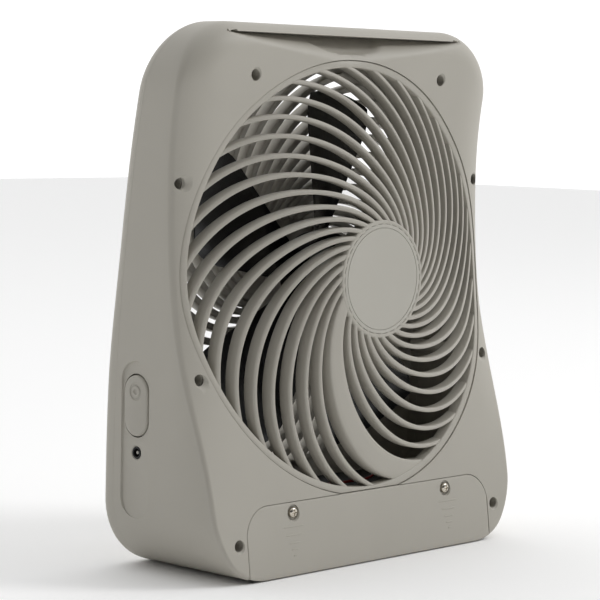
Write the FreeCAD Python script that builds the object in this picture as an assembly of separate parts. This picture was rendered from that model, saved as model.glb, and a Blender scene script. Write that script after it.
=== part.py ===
import FreeCAD, Part
import math
import os

V = FreeCAD.Vector

# Box fan, front towards -Y, base on z = 0, sizes in millimetres.

# casing
halfWidth = 149.0
height = 356.0
cornerRadius = 46.0
wall = 2.5
reach = 200.0                 # how far cutting blocks run past the casing
faceLine = [(0.0, -54.5), (26.0, -51.3), (69.0, -43.6), (100.0, -36.4), (131.0, -29.2),
            (162.0, -23.3), (194.0, -19.4), (226.0, -17.6), (273.0, -17.6), (336.0, -20.8),
            (370.0, -23.4)]
backLine = [(0.0, 55.0), (60.0, 54.7), (123.0, 52.9), (162.0, 50.0), (201.0, 46.0), (240.0, 41.0),
            (279.0, 35.0), (317.0, 27.5), (370.0, 15.5)]
topFrontRadius = 19.0
topBackRadius = 14.0
seamDepth = 12.0              # how far the rear cover reaches forward of the back surface

# fan opening and its grilles
centreZ = 189.3
ringOuterRadius = 147.0
openingRadius = 140.0
slotOuterRadius = 138.0
bandInnerRadius = 138.6
lugAngles = (20, 55, 125, 160, 235, 305)
ringDrop = 0.8
bandStep = 1.0                # bars' ends below the band
ringDepth = 8.0
barDepth = 10.0
barCount = 34
barWidthHub = 3.1
barWidthRim = 4.0
hubRadius = 36.4
hubFrontY = -55.0
capThickness = 2.6
domePower = 1.34
swirl = (148.9, -126.6, 66.0)  # degrees of turn from hub to rim: linear, square and cubic shares
firstBarAngle = 194.5
hubSlotRadius = 38.6
rearSlotOuter = 137.0
rearDiscRadius = 140.0
rearGrilleDepth = 9.0

# finger recess under the top edge
recessHalfWidth = 111.5
recessTopZ = 350.0
recessSag = 12.0
recessFloorY = -3.0

# casing screws: places on one side, the other side mirrors them
screwPlaces = [(90.0, 322.0), (143.0, 252.5), (138.4, 129.0), (125.0, 25.1)]
postRadius = 4.2
postHoleRadius = 3.0
screwRadius = 1.45
screwHeadRadius = 2.75
screwHeadHeight = 2.0
screwEngagement = 8.5
shelf = 3.0                   # plastic between a screw's head and the seam
runningGap = 0.05

# battery door
doorHalfWidth = 118.0
doorTopZ = 47.3
doorBottomZ = 0.8
doorCornerRadius = 20.0
doorGap = 0.4
doorScrewX = 74.8
doorScrewZ = 40.7
doorRecessRadius = 5.0
doorRecessFloorY = -47.4
doorBossBackY = -43.4
doorBossRadius = 7.0
doorHeadRadius = 3.4
doorHeadHeight = 2.8
doorScrewEndY = -34.0

# battery bay
trayHalfWidth = 102.0
trayFrontY = -42.0
trayBackY = 38.0
trayBottomZ = 3.9
trayTopZ = 42.2
trayWall = 1.8
cellRadius = 17.1
cellLength = 61.5
cellNub = 2.0
cellNubRadius = 5.0
cellRowY = (-22.0, 13.5)
cellZ = 22.9
cellPerRow = 3
cellEndGap = 0.6              # thickness of the contact plate at each end
springWire = 0.6
springTurns = 4
springTipRadius = 4.0
springFlare = 1.8
leadRadius = 0.9
leadFloorZ = 46.5
leadAside = 2.7               # each lead's distance from the middle of its channel
leadLift = 1.5                # air between the channel and the leads
leadNotch = (-12.8, -2.2)     # heights of the leads' way out of the motor seat, from its axis

# side panel with the switch and the power inlet
sideY = 22.2
sideRecessDepth = 1.2
sideRecessHalfWidth = 12.5
sideRecessLowZ = 36.0
sideRecessHighZ = 137.0
rockerZ = 108.8
rockerHalfWidth = 11.3
rockerHalfHeight = 19.8
rockerOuterX = -148.9
rockerInnerX = -144.4
rockerPinX = -144.0
rockerPinRadius = 1.0
rockerSideGap = 0.4
rockerEndGap = 0.9
rockerPinHalf = 14.2
rockerMarkZ = 117.9
panelInnerX = -145.3
switchFrontX = -142.6
switchBackX = -127.0
switchHalfHeight = 15.0
jackZ = 78.3
jackHoleRadius = 4.0
jackBarrelRadius = 3.9
jackBoreRadius = 2.8
jackPinRadius = 1.05
jackFaceX = -147.6
jackBackX = -131.0

# motor on the back of the hub
hubFloorY = -50.0             # front of the plate that carries the motor
motorPlateY = -44.5           # back of that plate
motorRadius = 18.8
canWall = 1.2
motorFrontY = motorPlateY
endBellDepth = 3.5
motorBackY = 6.0
shaftRadius = 1.6
mountInner = 21.4
mountOuter = 24.0
mountBackY = -22.0
motorScrewX = 8.0
magnetThickness = 4.0
armatureRadius = 12.6
bushingRadius = 4.2
magnetFrontY = -36.0
magnetBackY = -1.0
coreFrontY = -33.0
coreBackY = -4.0
armatureSlots = 5
commutatorRadius = 4.5
shaftEndY = 20.5

# rotor
rotorRadius = 125.0
bladeCount = 5
bladeFrontY = -7.0
bladeBackY = 13.0
bladeThickness = 2.0
cupOuter = 28.0
cupInner = 24.6
cupFrontY = -8.0
cupBackY = 15.0
cupFloor = 2.6
rotorBossRadius = 6.0
rotorBossEndY = 18.0
bladeRootHalf = 14.0
bladeTipHalf = 46.0
bladeSweep = 18.0
bladeBow = 0.35

footRadius = 7.0
footPlaces = [(88.0, -30.0), (88.0, 36.0)]
footDepth = 1.0


def lineCurve(points, shift):
    """A smooth curve in the YZ plane, whose parameter is the height z."""
    curve = Part.BSplineCurve()
    curve.interpolate(Points=[V(0, y + shift, z) for z, y in points], Parameters=[z for z, y in points])
    return curve


faceCurve = lineCurve(faceLine, 0.0)
backCurve = lineCurve(backLine, 0.0)


def faceY(z):
    return faceCurve.value(z).y


def backY(z):
    return backCurve.value(z).y


def prismX(wire, x0, x1):
    wire.translate(V(x0, 0, 0))
    return Part.Face(wire).extrude(V(x1 - x0, 0, 0))


def prismY(wire, y0, y1):
    wire.translate(V(0, y0, 0))
    return Part.Face(wire).extrude(V(0, y1 - y0, 0))


def cylinderY(x, z, radius, y0, y1):
    return Part.makeCylinder(radius, y1 - y0, V(x, y0, z), V(0, 1, 0))


def tubeY(x, z, outer, inner, y0, y1):
    return cylinderY(x, z, outer, y0, y1).cut(cylinderY(x, z, inner, y0 - 1, y1 + 1))


def cylinderX(y, z, radius, x0, x1):
    return Part.makeCylinder(radius, x1 - x0, V(x0, y, z), V(1, 0, 0))


def boxAt(x0, x1, y0, y1, z0, z1):
    return Part.makeBox(x1 - x0, y1 - y0, z1 - z0, V(x0, y0, z0))


def filletedLoop(corners, radii):
    """A closed wire of straight runs joined by tangent arcs, one radius per corner."""
    count = len(corners)
    ends = []
    edges = []
    for i in range(count):
        here = corners[i]
        before = (corners[i - 1] - here).normalize()
        after = (corners[(i + 1) % count] - here).normalize()
        half = before.getAngle(after) / 2
        run = radii[i] / math.tan(half)
        start = here + before * run
        finish = here + after * run
        ends.append((start, finish))
        if radii[i] > 0:
            middle = here + (before + after).normalize() * (radii[i] / math.sin(half) - radii[i])
            edges.append(Part.Arc(start, middle, finish).toShape())
    for i in range(count):
        a = ends[i][1]
        b = ends[(i + 1) % count][0]
        if a.distanceToPoint(b) > 1e-6:
            edges.append(Part.LineSegment(a, b).toShape())
    return Part.Wire(Part.__sortEdges__(edges))


def frontOutline(inset):
    w = halfWidth - inset
    corners = [V(-w, 0, inset), V(w, 0, inset), V(w, 0, height - inset), V(-w, 0, height - inset)]
    return filletedLoop(corners, [cornerRadius - inset] * 4)


def sideOutline(inset):
    """The casing seen from its side: curved face, rounded top, curved back, flat base."""
    top = height - inset
    face = lineCurve(faceLine, inset)
    back = lineCurve(backLine, -inset)
    frontJoin = face.value(height - topFrontRadius)
    backJoin = back.value(height - topBackRadius)
    edges = [face.toShape(inset, height - topFrontRadius), back.toShape(inset, height - topBackRadius)]
    lean = math.sqrt(0.5)
    frontTop = V(0, frontJoin.y + topFrontRadius - inset * 0.5, top)
    backTop = V(0, backJoin.y - topBackRadius + inset * 0.5, top)
    frontMid = V(0, frontTop.y - (frontTop.y - frontJoin.y) * lean, frontJoin.z + (top - frontJoin.z) * lean)
    backMid = V(0, backTop.y + (backJoin.y - backTop.y) * lean, backJoin.z + (top - backJoin.z) * lean)
    edges.append(Part.Arc(frontJoin, frontMid, frontTop).toShape())
    edges.append(Part.Arc(backJoin, backMid, backTop).toShape())
    edges.append(Part.LineSegment(frontTop, backTop).toShape())
    edges.append(Part.LineSegment(face.value(inset), back.value(inset)).toShape())
    return Part.Wire(Part.__sortEdges__(edges))


def casingBlock(inset):
    ahead = prismY(frontOutline(inset), -reach, reach)
    across = prismX(sideOutline(inset), -reach, reach)
    return ahead.common(across)


def behind(points, shift):
    """Everything behind a profile line moved by shift."""
    curve = lineCurve(points, shift)
    low = curve.value(points[0][0])
    high = curve.value(points[-1][0])
    lowFar = V(0, reach, low.z)
    highFar = V(0, reach, high.z)
    edges = [curve.toShape()]
    edges.append(Part.LineSegment(low, lowFar).toShape())
    edges.append(Part.LineSegment(lowFar, highFar).toShape())
    edges.append(Part.LineSegment(highFar, high).toShape())
    return prismX(Part.Wire(Part.__sortEdges__(edges)), -reach, reach)


def heightGrid():
    """The dome between hub and rim, as a grid of points, a little longer than the opening."""
    step = 18.0
    cells = 8
    rows = []
    for i in range(-cells, cells + 1):
        row = []
        for j in range(-cells, cells + 1):
            x = i * step
            z = j * step
            row.append(V(x, domeY(x, z), centreZ + z))
        rows.append(row)
    return rows


def domeY(x, z):
    """Front of the bars at x and at z above the hub's centre."""
    r = math.hypot(x, z)
    share = max(0.0, (r - hubRadius) / (openingRadius - hubRadius))
    rimZ = z * openingRadius / r if r > hubRadius else z
    rim = faceY(centreZ + rimZ) + ringDrop + bandStep
    return hubFrontY + (rim - hubFrontY) * share ** domePower


def swirlTurn(share):
    return swirl[0] * share + swirl[1] * share ** 2 + swirl[2] * share ** 3


def barEdge(barAngle, side, inner, outer, mirror):
    """One long edge of a spiral bar, in the XZ plane. side is -1 or 1."""
    points = []
    steps = 7
    for i in range(steps + 1):
        r = inner + (outer - inner) * i / steps
        share = (r - hubRadius) / (openingRadius - hubRadius)
        slope = swirl[0] + 2 * swirl[1] * share + 3 * swirl[2] * share ** 2
        lean = math.atan(r * math.radians(slope) / (openingRadius - hubRadius))
        width = barWidthHub + (barWidthRim - barWidthHub) * share
        half = width / 2 / (r * math.cos(lean))
        angle = math.radians(barAngle + swirlTurn(share)) + side * half
        points.append(V(mirror * r * math.cos(angle), 0, centreZ + r * math.sin(angle)))
    return points


def arcBetween(a, b, radius):
    """The short arc from a to b on a circle round the fan's axis."""
    centre = V(0, 0, centreZ)
    middle = centre + ((a + b) * 0.5 - centre).normalize() * radius
    return Part.Arc(a, middle, b).toShape()


def slotPrism(number, inner, outer, mirror, y0, y1):
    """The gap between one spiral bar and the next."""
    pitch = 360.0 / barCount
    low = barEdge(firstBarAngle + pitch * number, 1, inner, outer, mirror)
    high = barEdge(firstBarAngle + pitch * (number + 1), -1, inner, outer, mirror)
    lowCurve = Part.BSplineCurve()
    lowCurve.interpolate(low)
    highCurve = Part.BSplineCurve()
    highCurve.interpolate(high)
    edges = [lowCurve.toShape(), highCurve.toShape()]
    edges.append(arcBetween(low[0], high[0], inner))
    edges.append(arcBetween(low[-1], high[-1], outer))
    return prismY(Part.Wire(Part.__sortEdges__(edges)), y0, y1)


def rimRing():
    """Flat band round the opening, a step below the face."""
    slab = behind(faceLine, ringDrop).cut(behind(faceLine, ringDrop + ringDepth))
    band = tubeY(0, centreZ, ringOuterRadius - 0.1, bandInnerRadius, -reach, reach)
    return slab.common(band)


def snapLugs():
    """Tongues that hold the grille's band behind the casing's face."""
    slab = behind(faceLine, wall + 0.1).cut(behind(faceLine, wall + 2.6))
    lugs = []
    for angle in lugAngles:
        block = boxAt(ringOuterRadius - 3, ringOuterRadius + 2.6, -reach, reach, -5, 5)
        block.rotate(V(0, 0, 0), V(0, 1, 0), -angle)
        block.translate(V(0, 0, centreZ))
        lugs.append(block.common(slab))
    return lugs


def makeFrontGrille():
    """Domed disc of spiral bars with the motor's seat behind its hub.

    The gap next to the first bar stays closed, as the channel for the motor's leads."""
    surface = Part.BSplineSurface()
    surface.interpolate(heightGrid())
    dome = surface.toShape().extrude(V(0, barDepth, 0))
    dome = dome.common(cylinderY(0, centreZ, openingRadius + 1.7, -reach, reach))
    mount = tubeY(0, centreZ, mountOuter, mountInner, motorPlateY - 1, mountBackY)
    hub = cylinderY(0, centreZ, hubRadius + 1.5, hubFrontY + 3, motorPlateY)
    dome = dome.fuse([mount, hub, rimRing()] + snapLugs())
    cuts = [cylinderY(0, centreZ, hubRadius + 0.2, -reach, hubFrontY + capThickness)]
    cuts.append(cylinderY(0, centreZ, hubRadius - 4, -reach, hubFloorY))
    cuts.append(cylinderY(0, centreZ, bushingRadius + 0.4, hubFrontY, 0))
    cuts.append(boxAt(-mountOuter - 2, -mountInner + 4, motorPlateY, mountBackY + 1,
                      centreZ + leadNotch[0], centreZ + leadNotch[1]))
    cuts.append(doorPrism(doorGap))
    for side in (-1, 1):
        cuts.append(cylinderY(side * motorScrewX, centreZ, screwRadius + 0.15, -reach, 0))
    for number in range(1, barCount):
        cuts.append(slotPrism(number, hubSlotRadius, slotOuterRadius, 1, -reach, mountBackY + 20))
    return dome.cut(cuts)


def recessTool(grow):
    """Lens-shaped finger recess: a straight top edge and a bowed lower edge."""
    half = recessHalfWidth + grow * 2
    low = recessTopZ - recessSag - grow
    a = V(-half, 0, recessTopZ + grow)
    b = V(half, 0, recessTopZ + grow)
    bow = Part.Arc(a, V(0, 0, low), b).toShape()
    lip = Part.LineSegment(b, a).toShape()
    return prismY(Part.Wire([bow, lip]), -reach, recessFloorY + grow)


def doorPrism(grow):
    """The battery door seen from the front, run on below the base so that only its upper corners round."""
    w = doorHalfWidth + grow
    top = doorTopZ + grow
    corners = [V(-w, 0, -20), V(w, 0, -20), V(w, 0, top), V(-w, 0, top)]
    radius = doorCornerRadius + grow
    return prismY(filletedLoop(corners, [0, 0, radius, radius]), -reach, reach)


def oblongPrism(y, z0, z1, half, x0, x1):
    """A slot along X whose round ends are centred at heights z0 and z1."""
    low = Part.Arc(V(0, y - half, z0), V(0, y, z0 - half), V(0, y + half, z0)).toShape()
    high = Part.Arc(V(0, y + half, z1), V(0, y, z1 + half), V(0, y - half, z1)).toShape()
    left = Part.LineSegment(V(0, y - half, z1), V(0, y - half, z0)).toShape()
    right = Part.LineSegment(V(0, y + half, z0), V(0, y + half, z1)).toShape()
    return prismX(Part.Wire([low, right, high, left]), x0, x1)


def seamY(z):
    return backY(z) - seamDepth


def bothSides(places):
    return [(side * x, z) for x, z in places for side in (-1, 1)]


def footPockets():
    pockets = []
    for x, y in footPlaces:
        for side in (-1, 1):
            pockets.append(Part.makeCylinder(footRadius + 0.2, footDepth, V(side * x, y, 0)))
    return pockets


def shell():
    """The whole hollow casing, before it is split at the seam."""
    outer = casingBlock(0.0).cut(recessTool(0.0))
    inner = casingBlock(wall).cut(recessTool(wall))
    pads = []
    for x, y in footPlaces:
        for side in (-1, 1):
            pads.append(Part.makeCylinder(footRadius + 2, wall + 1.2, V(side * x, y, 0)))
    panel = oblongPrism(sideY, sideRecessLowZ + sideRecessHalfWidth, sideRecessHighZ - sideRecessHalfWidth,
                        sideRecessHalfWidth + 2, -halfWidth, -halfWidth + wall + sideRecessDepth)
    inner = inner.cut(pads + [panel])
    return outer.cut(inner).cut(footPockets())


def makeFrontHousing(hollow):
    body = hollow.cut(behind(backLine, -seamDepth))
    block = casingBlock(0.05)
    posts = []
    holes = [cylinderY(0, centreZ, ringOuterRadius, -reach, 0)]
    for x, z in bothSides(screwPlaces):
        end = seamY(z)
        posts.append(cylinderY(x, z, postRadius, faceY(z) - 8, end).common(block))
        holes.append(cylinderY(x, z, postHoleRadius, -reach, end - shelf))
        holes.append(cylinderY(x, z, screwRadius + 0.15, -reach, end + 5))
    holes.append(doorPrism(doorGap).cut(behind(faceLine, 3.0)))
    holes.append(oblongPrism(sideY, sideRecessLowZ + sideRecessHalfWidth,
                             sideRecessHighZ - sideRecessHalfWidth, sideRecessHalfWidth,
                             -reach, -halfWidth + sideRecessDepth))
    holes.append(oblongPrism(sideY, rockerZ - rockerHalfHeight - rockerEndGap + rockerHalfWidth,
                             rockerZ + rockerHalfHeight + rockerEndGap - rockerHalfWidth,
                             rockerHalfWidth + rockerSideGap, -reach, -halfWidth + 10))
    holes.append(cylinderX(sideY, jackZ, jackHoleRadius, -reach, -halfWidth + 10))
    return body.fuse(posts).cut(holes)


def makeRearHousing(hollow):
    body = hollow.common(behind(backLine, -seamDepth))
    block = casingBlock(0.05)
    posts = []
    cuts = [cylinderY(0, centreZ, rearDiscRadius + 0.1, 0, reach)]
    for x, z in bothSides(screwPlaces):
        posts.append(cylinderY(x, z, postRadius, seamY(z), backY(z) + 4).common(block))
        cuts.append(cylinderY(x, z, screwRadius + runningGap, 0, seamY(z) + screwEngagement))
    return body.fuse(posts).cut(cuts)


def makeRearGrille():
    """Spiral disc that follows the sloping back, turning the other way seen from in front."""
    slab = behind(backLine, -rearGrilleDepth).cut(behind(backLine, -ringDrop))
    disc = slab.common(cylinderY(0, centreZ, rearDiscRadius, -reach, reach))
    slots = []
    for number in range(barCount):
        slots.append(slotPrism(number, hubSlotRadius, rearSlotOuter, -1, 0, reach))
    return disc.cut(slots)


def makeHubCap():
    """Plain disc over the motor screws, with a fine groove near its edge."""
    disc = cylinderY(0, centreZ, hubRadius, hubFrontY, hubFrontY + capThickness - 0.1)
    groove = tubeY(0, centreZ, hubRadius - 2.2, hubRadius - 2.9, hubFrontY - 1, hubFrontY + 0.5)
    skirtFront = hubFrontY + capThickness - 0.1
    skirt = tubeY(0, centreZ, hubRadius - 4.2, hubRadius - 5.8, skirtFront, hubFloorY - 0.4)
    return disc.cut(groove).fuse(skirt)


def makeHousingScrews():
    screws = []
    for x, z in bothSides(screwPlaces):
        under = seamY(z) - shelf
        head = cylinderY(x, z, screwHeadRadius, under - screwHeadHeight, under)
        shank = cylinderY(x, z, screwRadius, under, seamY(z) + screwEngagement - 0.5)
        screws.append(head.fuse(shank))
    return Part.makeCompound(screws)


def makeBatteryDoor():
    """Cover that follows the face, with a boss behind each screw recess."""
    plate = doorPrism(0.0).common(casingBlock(0.0)).cut(behind(faceLine, wall))
    plate = plate.common(boxAt(-reach, reach, -reach, 0, doorBottomZ, height))
    bosses = []
    cuts = []
    for side in (-1, 1):
        x = side * doorScrewX
        boss = cylinderY(x, doorScrewZ, doorBossRadius, doorRecessFloorY - 2, doorBossBackY)
        bosses.append(boss.common(boxAt(-reach, reach, -reach, 0, 0, doorTopZ - 0.4)))
        cuts.append(cylinderY(x, doorScrewZ, doorRecessRadius, -reach, doorRecessFloorY))
        cuts.append(cylinderY(x, doorScrewZ, screwRadius + 0.2, -reach, 0))
    return plate.fuse(bosses).cut(cuts)


def makeDoorScrews():
    screws = []
    for side in (-1, 1):
        x = side * doorScrewX
        head = cylinderY(x, doorScrewZ, doorHeadRadius, doorRecessFloorY - doorHeadHeight, doorRecessFloorY)
        shank = cylinderY(x, doorScrewZ, screwRadius, doorRecessFloorY, doorScrewEndY)
        slotFloor = doorRecessFloorY - doorHeadHeight + 1
        slot = boxAt(x - 5, x + 5, -reach, slotFloor, doorScrewZ - 0.4, doorScrewZ + 0.4)
        screws.append(head.fuse(shank).cut(slot))
    return Part.makeCompound(screws)


def makeDoorScrewRetainers():
    rings = []
    for side in (-1, 1):
        x = side * doorScrewX
        rings.append(tubeY(x, doorScrewZ, 3.2, screwRadius, doorBossBackY, doorBossBackY + 0.9))
    return Part.makeCompound(rings)


def makeBatteryTray():
    """Open-fronted box for the cells, with a screw post at each upper corner."""
    body = boxAt(-trayHalfWidth, trayHalfWidth, trayFrontY, trayBackY, trayBottomZ, trayTopZ)
    room = boxAt(-trayHalfWidth + trayWall, trayHalfWidth - trayWall, trayFrontY - 1, trayBackY - trayWall,
                 trayBottomZ + trayWall, trayTopZ - trayWall)
    body = body.cut(room)
    for side in (-1, 1):
        x = side * doorScrewX
        post = cylinderY(x, doorScrewZ, 4.0, trayFrontY, doorScrewEndY + 0.5)
        bore = cylinderY(x, doorScrewZ, screwRadius + runningGap, -reach, doorScrewEndY + 0.2)
        body = body.fuse(post).cut(bore)
    return body


def cellEnds():
    """For each row: the x where its first plus end stands and the way the row runs."""
    start = trayHalfWidth - trayWall - cellEndGap
    return [(-start, 1), (start, -1)]


def makeBatteryCells():
    cells = []
    for row, (start, way) in enumerate(cellEnds()):
        y = cellRowY[row]
        for number in range(cellPerRow):
            nubEnd = start + way * cellLength * number
            can = nubEnd + way * cellNub
            tail = nubEnd + way * cellLength
            nub = cylinderX(y, cellZ, cellNubRadius, min(nubEnd, can), max(nubEnd, can))
            body = cylinderX(y, cellZ, cellRadius, min(can, tail), max(can, tail))
            cells.append(nub.fuse(body))
    return Part.makeCompound(cells)


def makeBatterySprings():
    """One conical coil per row, pressing the last cell towards the first contact."""
    springs = []
    length = 2 * (trayHalfWidth - trayWall - cellEndGap) - cellLength * cellPerRow
    for row, (start, way) in enumerate(cellEnds()):
        tail = start + way * cellLength * cellPerRow
        turns = []
        for turn in range(springTurns):
            radius = springTipRadius + springFlare * turn
            centre = V(tail + way * (springWire + (length - 2 * springWire) * turn / (springTurns - 1)),
                       cellRowY[row], cellZ)
            turns.append(Part.makeTorus(radius, springWire, centre, V(1, 0, 0)))
        springs.extend(turns)
    return Part.makeCompound(springs)


def makeContactPlates():
    inner = trayHalfWidth - trayWall
    low = cellRowY[0] - 12
    high = cellRowY[1] + 12
    plates = []
    for side in (-1, 1):
        edges = sorted([side * (inner - cellEndGap), side * inner])
        plates.append(boxAt(edges[0], edges[1], low, high, cellZ - 12, cellZ + 12))
    return Part.makeCompound(plates)


def makeMotorCan():
    front = motorFrontY + endBellDepth
    body = cylinderY(0, centreZ, motorRadius, front, motorBackY)
    room = cylinderY(0, centreZ, motorRadius - canWall, front - 1, motorBackY - canWall)
    return body.cut([room, cylinderY(0, centreZ, bushingRadius, front, motorBackY + 1)])


def makeMotorEndBell():
    disc = cylinderY(0, centreZ, motorRadius, motorFrontY, motorFrontY + endBellDepth)
    cuts = [cylinderY(0, centreZ, bushingRadius, motorFrontY - 1, 0)]
    for side in (-1, 1):
        x = side * motorScrewX
        cuts.append(cylinderY(x, centreZ, screwRadius + runningGap, -reach, motorFrontY + 3.0))
    return disc.cut(cuts)


def makeMotorScrews():
    screws = []
    for side in (-1, 1):
        x = side * motorScrewX
        head = cylinderY(x, centreZ, screwHeadRadius, hubFloorY - screwHeadHeight, hubFloorY)
        screws.append(head.fuse(cylinderY(x, centreZ, screwRadius, hubFloorY, motorFrontY + 2.8)))
    return Part.makeCompound(screws)


def makeMotorMagnets():
    """Two curved magnets against the inside of the can."""
    outer = motorRadius - canWall
    ring = tubeY(0, centreZ, outer, outer - magnetThickness, magnetFrontY, magnetBackY)
    gap = boxAt(-4, 4, -reach, reach, centreZ - 30, centreZ + 30)
    return ring.cut(gap)


def makeArmatureCore():
    core = tubeY(0, centreZ, armatureRadius, shaftRadius, coreFrontY, coreBackY)
    slots = []
    for number in range(armatureSlots):
        slot = boxAt(6.0, 20.0, -reach, reach, -0.9, 0.9)
        slot.rotate(V(0, 0, 0), V(0, 1, 0), 360.0 / armatureSlots * number)
        slot.translate(V(0, 0, centreZ))
        slots.append(slot)
    return core.cut(slots)


def makeArmatureWindings():
    """The two rings of wire that stand out of the ends of the core."""
    front = tubeY(0, centreZ, armatureRadius - 1, 4.6, coreFrontY - 3.5, coreFrontY)
    back = tubeY(0, centreZ, armatureRadius - 1, 4.6, coreBackY, coreBackY + 3.5)
    return Part.makeCompound([front, back])


def makeCommutator():
    return tubeY(0, centreZ, commutatorRadius, shaftRadius, coreFrontY - 6.3, coreFrontY - 3.8)


def makeMotorBrushes():
    front = coreFrontY - 6.0
    brushes = []
    for side in (-1, 1):
        edges = sorted([side * (commutatorRadius + 0.1), side * (commutatorRadius + 6)])
        brushes.append(boxAt(edges[0], edges[1], front, front + 2.0, centreZ - 1.4, centreZ + 1.4))
    return Part.makeCompound(brushes)


def makeMotorShaft():
    return cylinderY(0, centreZ, shaftRadius, motorFrontY - 1.5, shaftEndY)


def makeBushing(y0, y1):
    return tubeY(0, centreZ, bushingRadius, shaftRadius + runningGap, y0, y1)


def makeMotorIsolator():
    ring = tubeY(0, centreZ, mountInner, motorRadius, motorFrontY + 4, mountBackY - 3)
    low = centreZ + leadNotch[0]
    high = centreZ + leadNotch[1]
    return ring.cut(boxAt(-mountOuter, -motorRadius + 3, -reach, 0, low, high))


def bladeSection(radius):
    """Closed outline of one blade at a radius: a shallow bow, set at its pitch."""
    share = (radius - cupOuter) / (rotorRadius - cupOuter)
    half = bladeRootHalf + (bladeTipHalf - bladeRootHalf) * share
    lag = bladeSweep * share
    front = []
    back = []
    steps = 6
    for i in range(steps + 1):
        u = 2.0 * i / steps - 1
        across = half * u
        along = (bladeFrontY + bladeBackY) / 2 + (bladeBackY - bladeFrontY - bladeThickness) / 2 * (
            u + bladeBow * (1 - u * u))
        front.append((across + lag, along - bladeThickness / 2))
        back.append((across + lag, along + bladeThickness / 2))
    loop = front + back[::-1]
    points = [V(s, y, radius) for s, y in loop]
    return Part.makePolygon(points + [points[0]])


def makeFanBlade():
    """Cup over the motor's tail with the blades around it."""
    cup = cylinderY(0, centreZ, cupOuter, cupFrontY, cupBackY)
    cup = cup.cut(cylinderY(0, centreZ, cupInner, cupFrontY - 1, cupBackY - cupFloor))
    cup = cup.fuse(cylinderY(0, centreZ, rotorBossRadius, motorBackY + 2.6, rotorBossEndY))
    cup = cup.cut(cylinderY(0, centreZ, shaftRadius, -reach, reach))
    limit = tubeY(0, centreZ, rotorRadius, cupInner + 1, bladeFrontY - 10, bladeBackY + 10)
    radii = [cupInner - 2, 50.0, 80.0, 105.0, rotorRadius + 12]
    blades = []
    for number in range(bladeCount):
        blade = Part.makeLoft([bladeSection(radius) for radius in radii], True, True)
        blade.rotate(V(0, 0, 0), V(0, 1, 0), 360.0 / bladeCount * number)
        blade.translate(V(0, 0, centreZ))
        blades.append(blade.common(limit))
    return cup.fuse(blades)


def makeBladeRetainer():
    return tubeY(0, centreZ, 4.6, shaftRadius, rotorBossEndY, rotorBossEndY + 1.0)


def makeRockerCap():
    low = rockerZ - rockerHalfHeight + rockerHalfWidth
    high = rockerZ + rockerHalfHeight - rockerHalfWidth
    cap = oblongPrism(sideY, low, high, rockerHalfWidth, rockerOuterX, rockerInnerX)
    pin = cylinderY(rockerPinX, rockerZ, rockerPinRadius, sideY - rockerPinHalf, sideY + rockerPinHalf)
    mark = cylinderX(sideY, rockerMarkZ, 5.6, rockerOuterX - 1, rockerOuterX + 0.4)
    mark = mark.cut(cylinderX(sideY, rockerMarkZ, 4.4, rockerOuterX - 2, rockerOuterX + 2))
    return cap.fuse(pin).cut(mark)


def makeSwitchBody():
    """Box behind the cap, with two ears that carry the cap's pin."""
    low = rockerZ - switchHalfHeight
    high = rockerZ + switchHalfHeight
    body = boxAt(switchFrontX, switchBackX, sideY - 15.5, sideY + 15.5, low, high)
    room = boxAt(switchFrontX - 1, switchBackX - 3, sideY - 12.2, sideY + 12.2, low + 2, high - 2)
    ears = []
    for side in (-1, 1):
        edges = sorted([sideY + side * 12.2, sideY + side * 15.5])
        ears.append(boxAt(panelInnerX + 0.1, switchFrontX + 1, edges[0], edges[1], rockerZ - 4, rockerZ + 4))
    hole = cylinderY(rockerPinX, rockerZ, rockerPinRadius + runningGap, sideY - 20, sideY + 20)
    return body.cut(room).fuse(ears).cut(hole)


def makeSwitchTerminals():
    tabs = []
    for rise in (-10, 0, 10):
        z = rockerZ + rise
        tabs.append(boxAt(switchBackX, switchBackX + 7, sideY - 2.4, sideY + 2.4, z - 0.4, z + 0.4))
    return Part.makeCompound(tabs)


def makeJackBody():
    block = boxAt(panelInnerX, jackBackX, sideY - 5, sideY + 5, jackZ - 4.5, jackZ + 4.5)
    barrel = cylinderX(sideY, jackZ, jackBarrelRadius, jackFaceX, panelInnerX + 1)
    return block.fuse(barrel).cut(cylinderX(sideY, jackZ, jackBoreRadius, jackFaceX - 1, jackBackX - 2))


def makeJackPin():
    return cylinderX(sideY, jackZ, jackPinRadius, jackFaceX + 1.2, jackBackX - 2)


def makeJackBoard():
    return boxAt(jackBackX, jackBackX + 1.6, sideY - 10, sideY + 10, jackZ - 18, jackZ + 6)


def makeSpeedResistor():
    z = jackZ - 12
    return cylinderY(jackBackX + 1.6 + 2.5, z, 2.5, sideY - 7, sideY + 7)


def makeRubberFeet():
    feet = []
    for x, y in footPlaces:
        for side in (-1, 1):
            feet.append(Part.makeCylinder(footRadius, footDepth, V(side * x, y, 0)))
    return Part.makeCompound(feet)


def leadTube(points):
    """A wire of straight runs and tangent arcs through the points."""
    edges = []
    last = points[0]
    for i in range(1, len(points) - 1):
        before = points[i - 1] - points[i]
        after = points[i + 1] - points[i]
        half = before.getAngle(after) / 2
        run = 0.45 * min(before.Length, after.Length)
        radius = run * math.tan(half)
        before.normalize()
        after.normalize()
        start = points[i] + before * run
        finish = points[i] + after * run
        middle = points[i] + (before + after).normalize() * (radius / math.sin(half) - radius)
        edges.append(Part.LineSegment(last, start).toShape())
        edges.append(Part.Arc(start, middle, finish).toShape())
        last = finish
    edges.append(Part.LineSegment(last, points[-1]).toShape())
    path = Part.Wire(edges)
    section = Part.Wire(Part.makeCircle(leadRadius, points[0], points[1] - points[0]))
    return path.makePipeShell([section], True, False)


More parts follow.
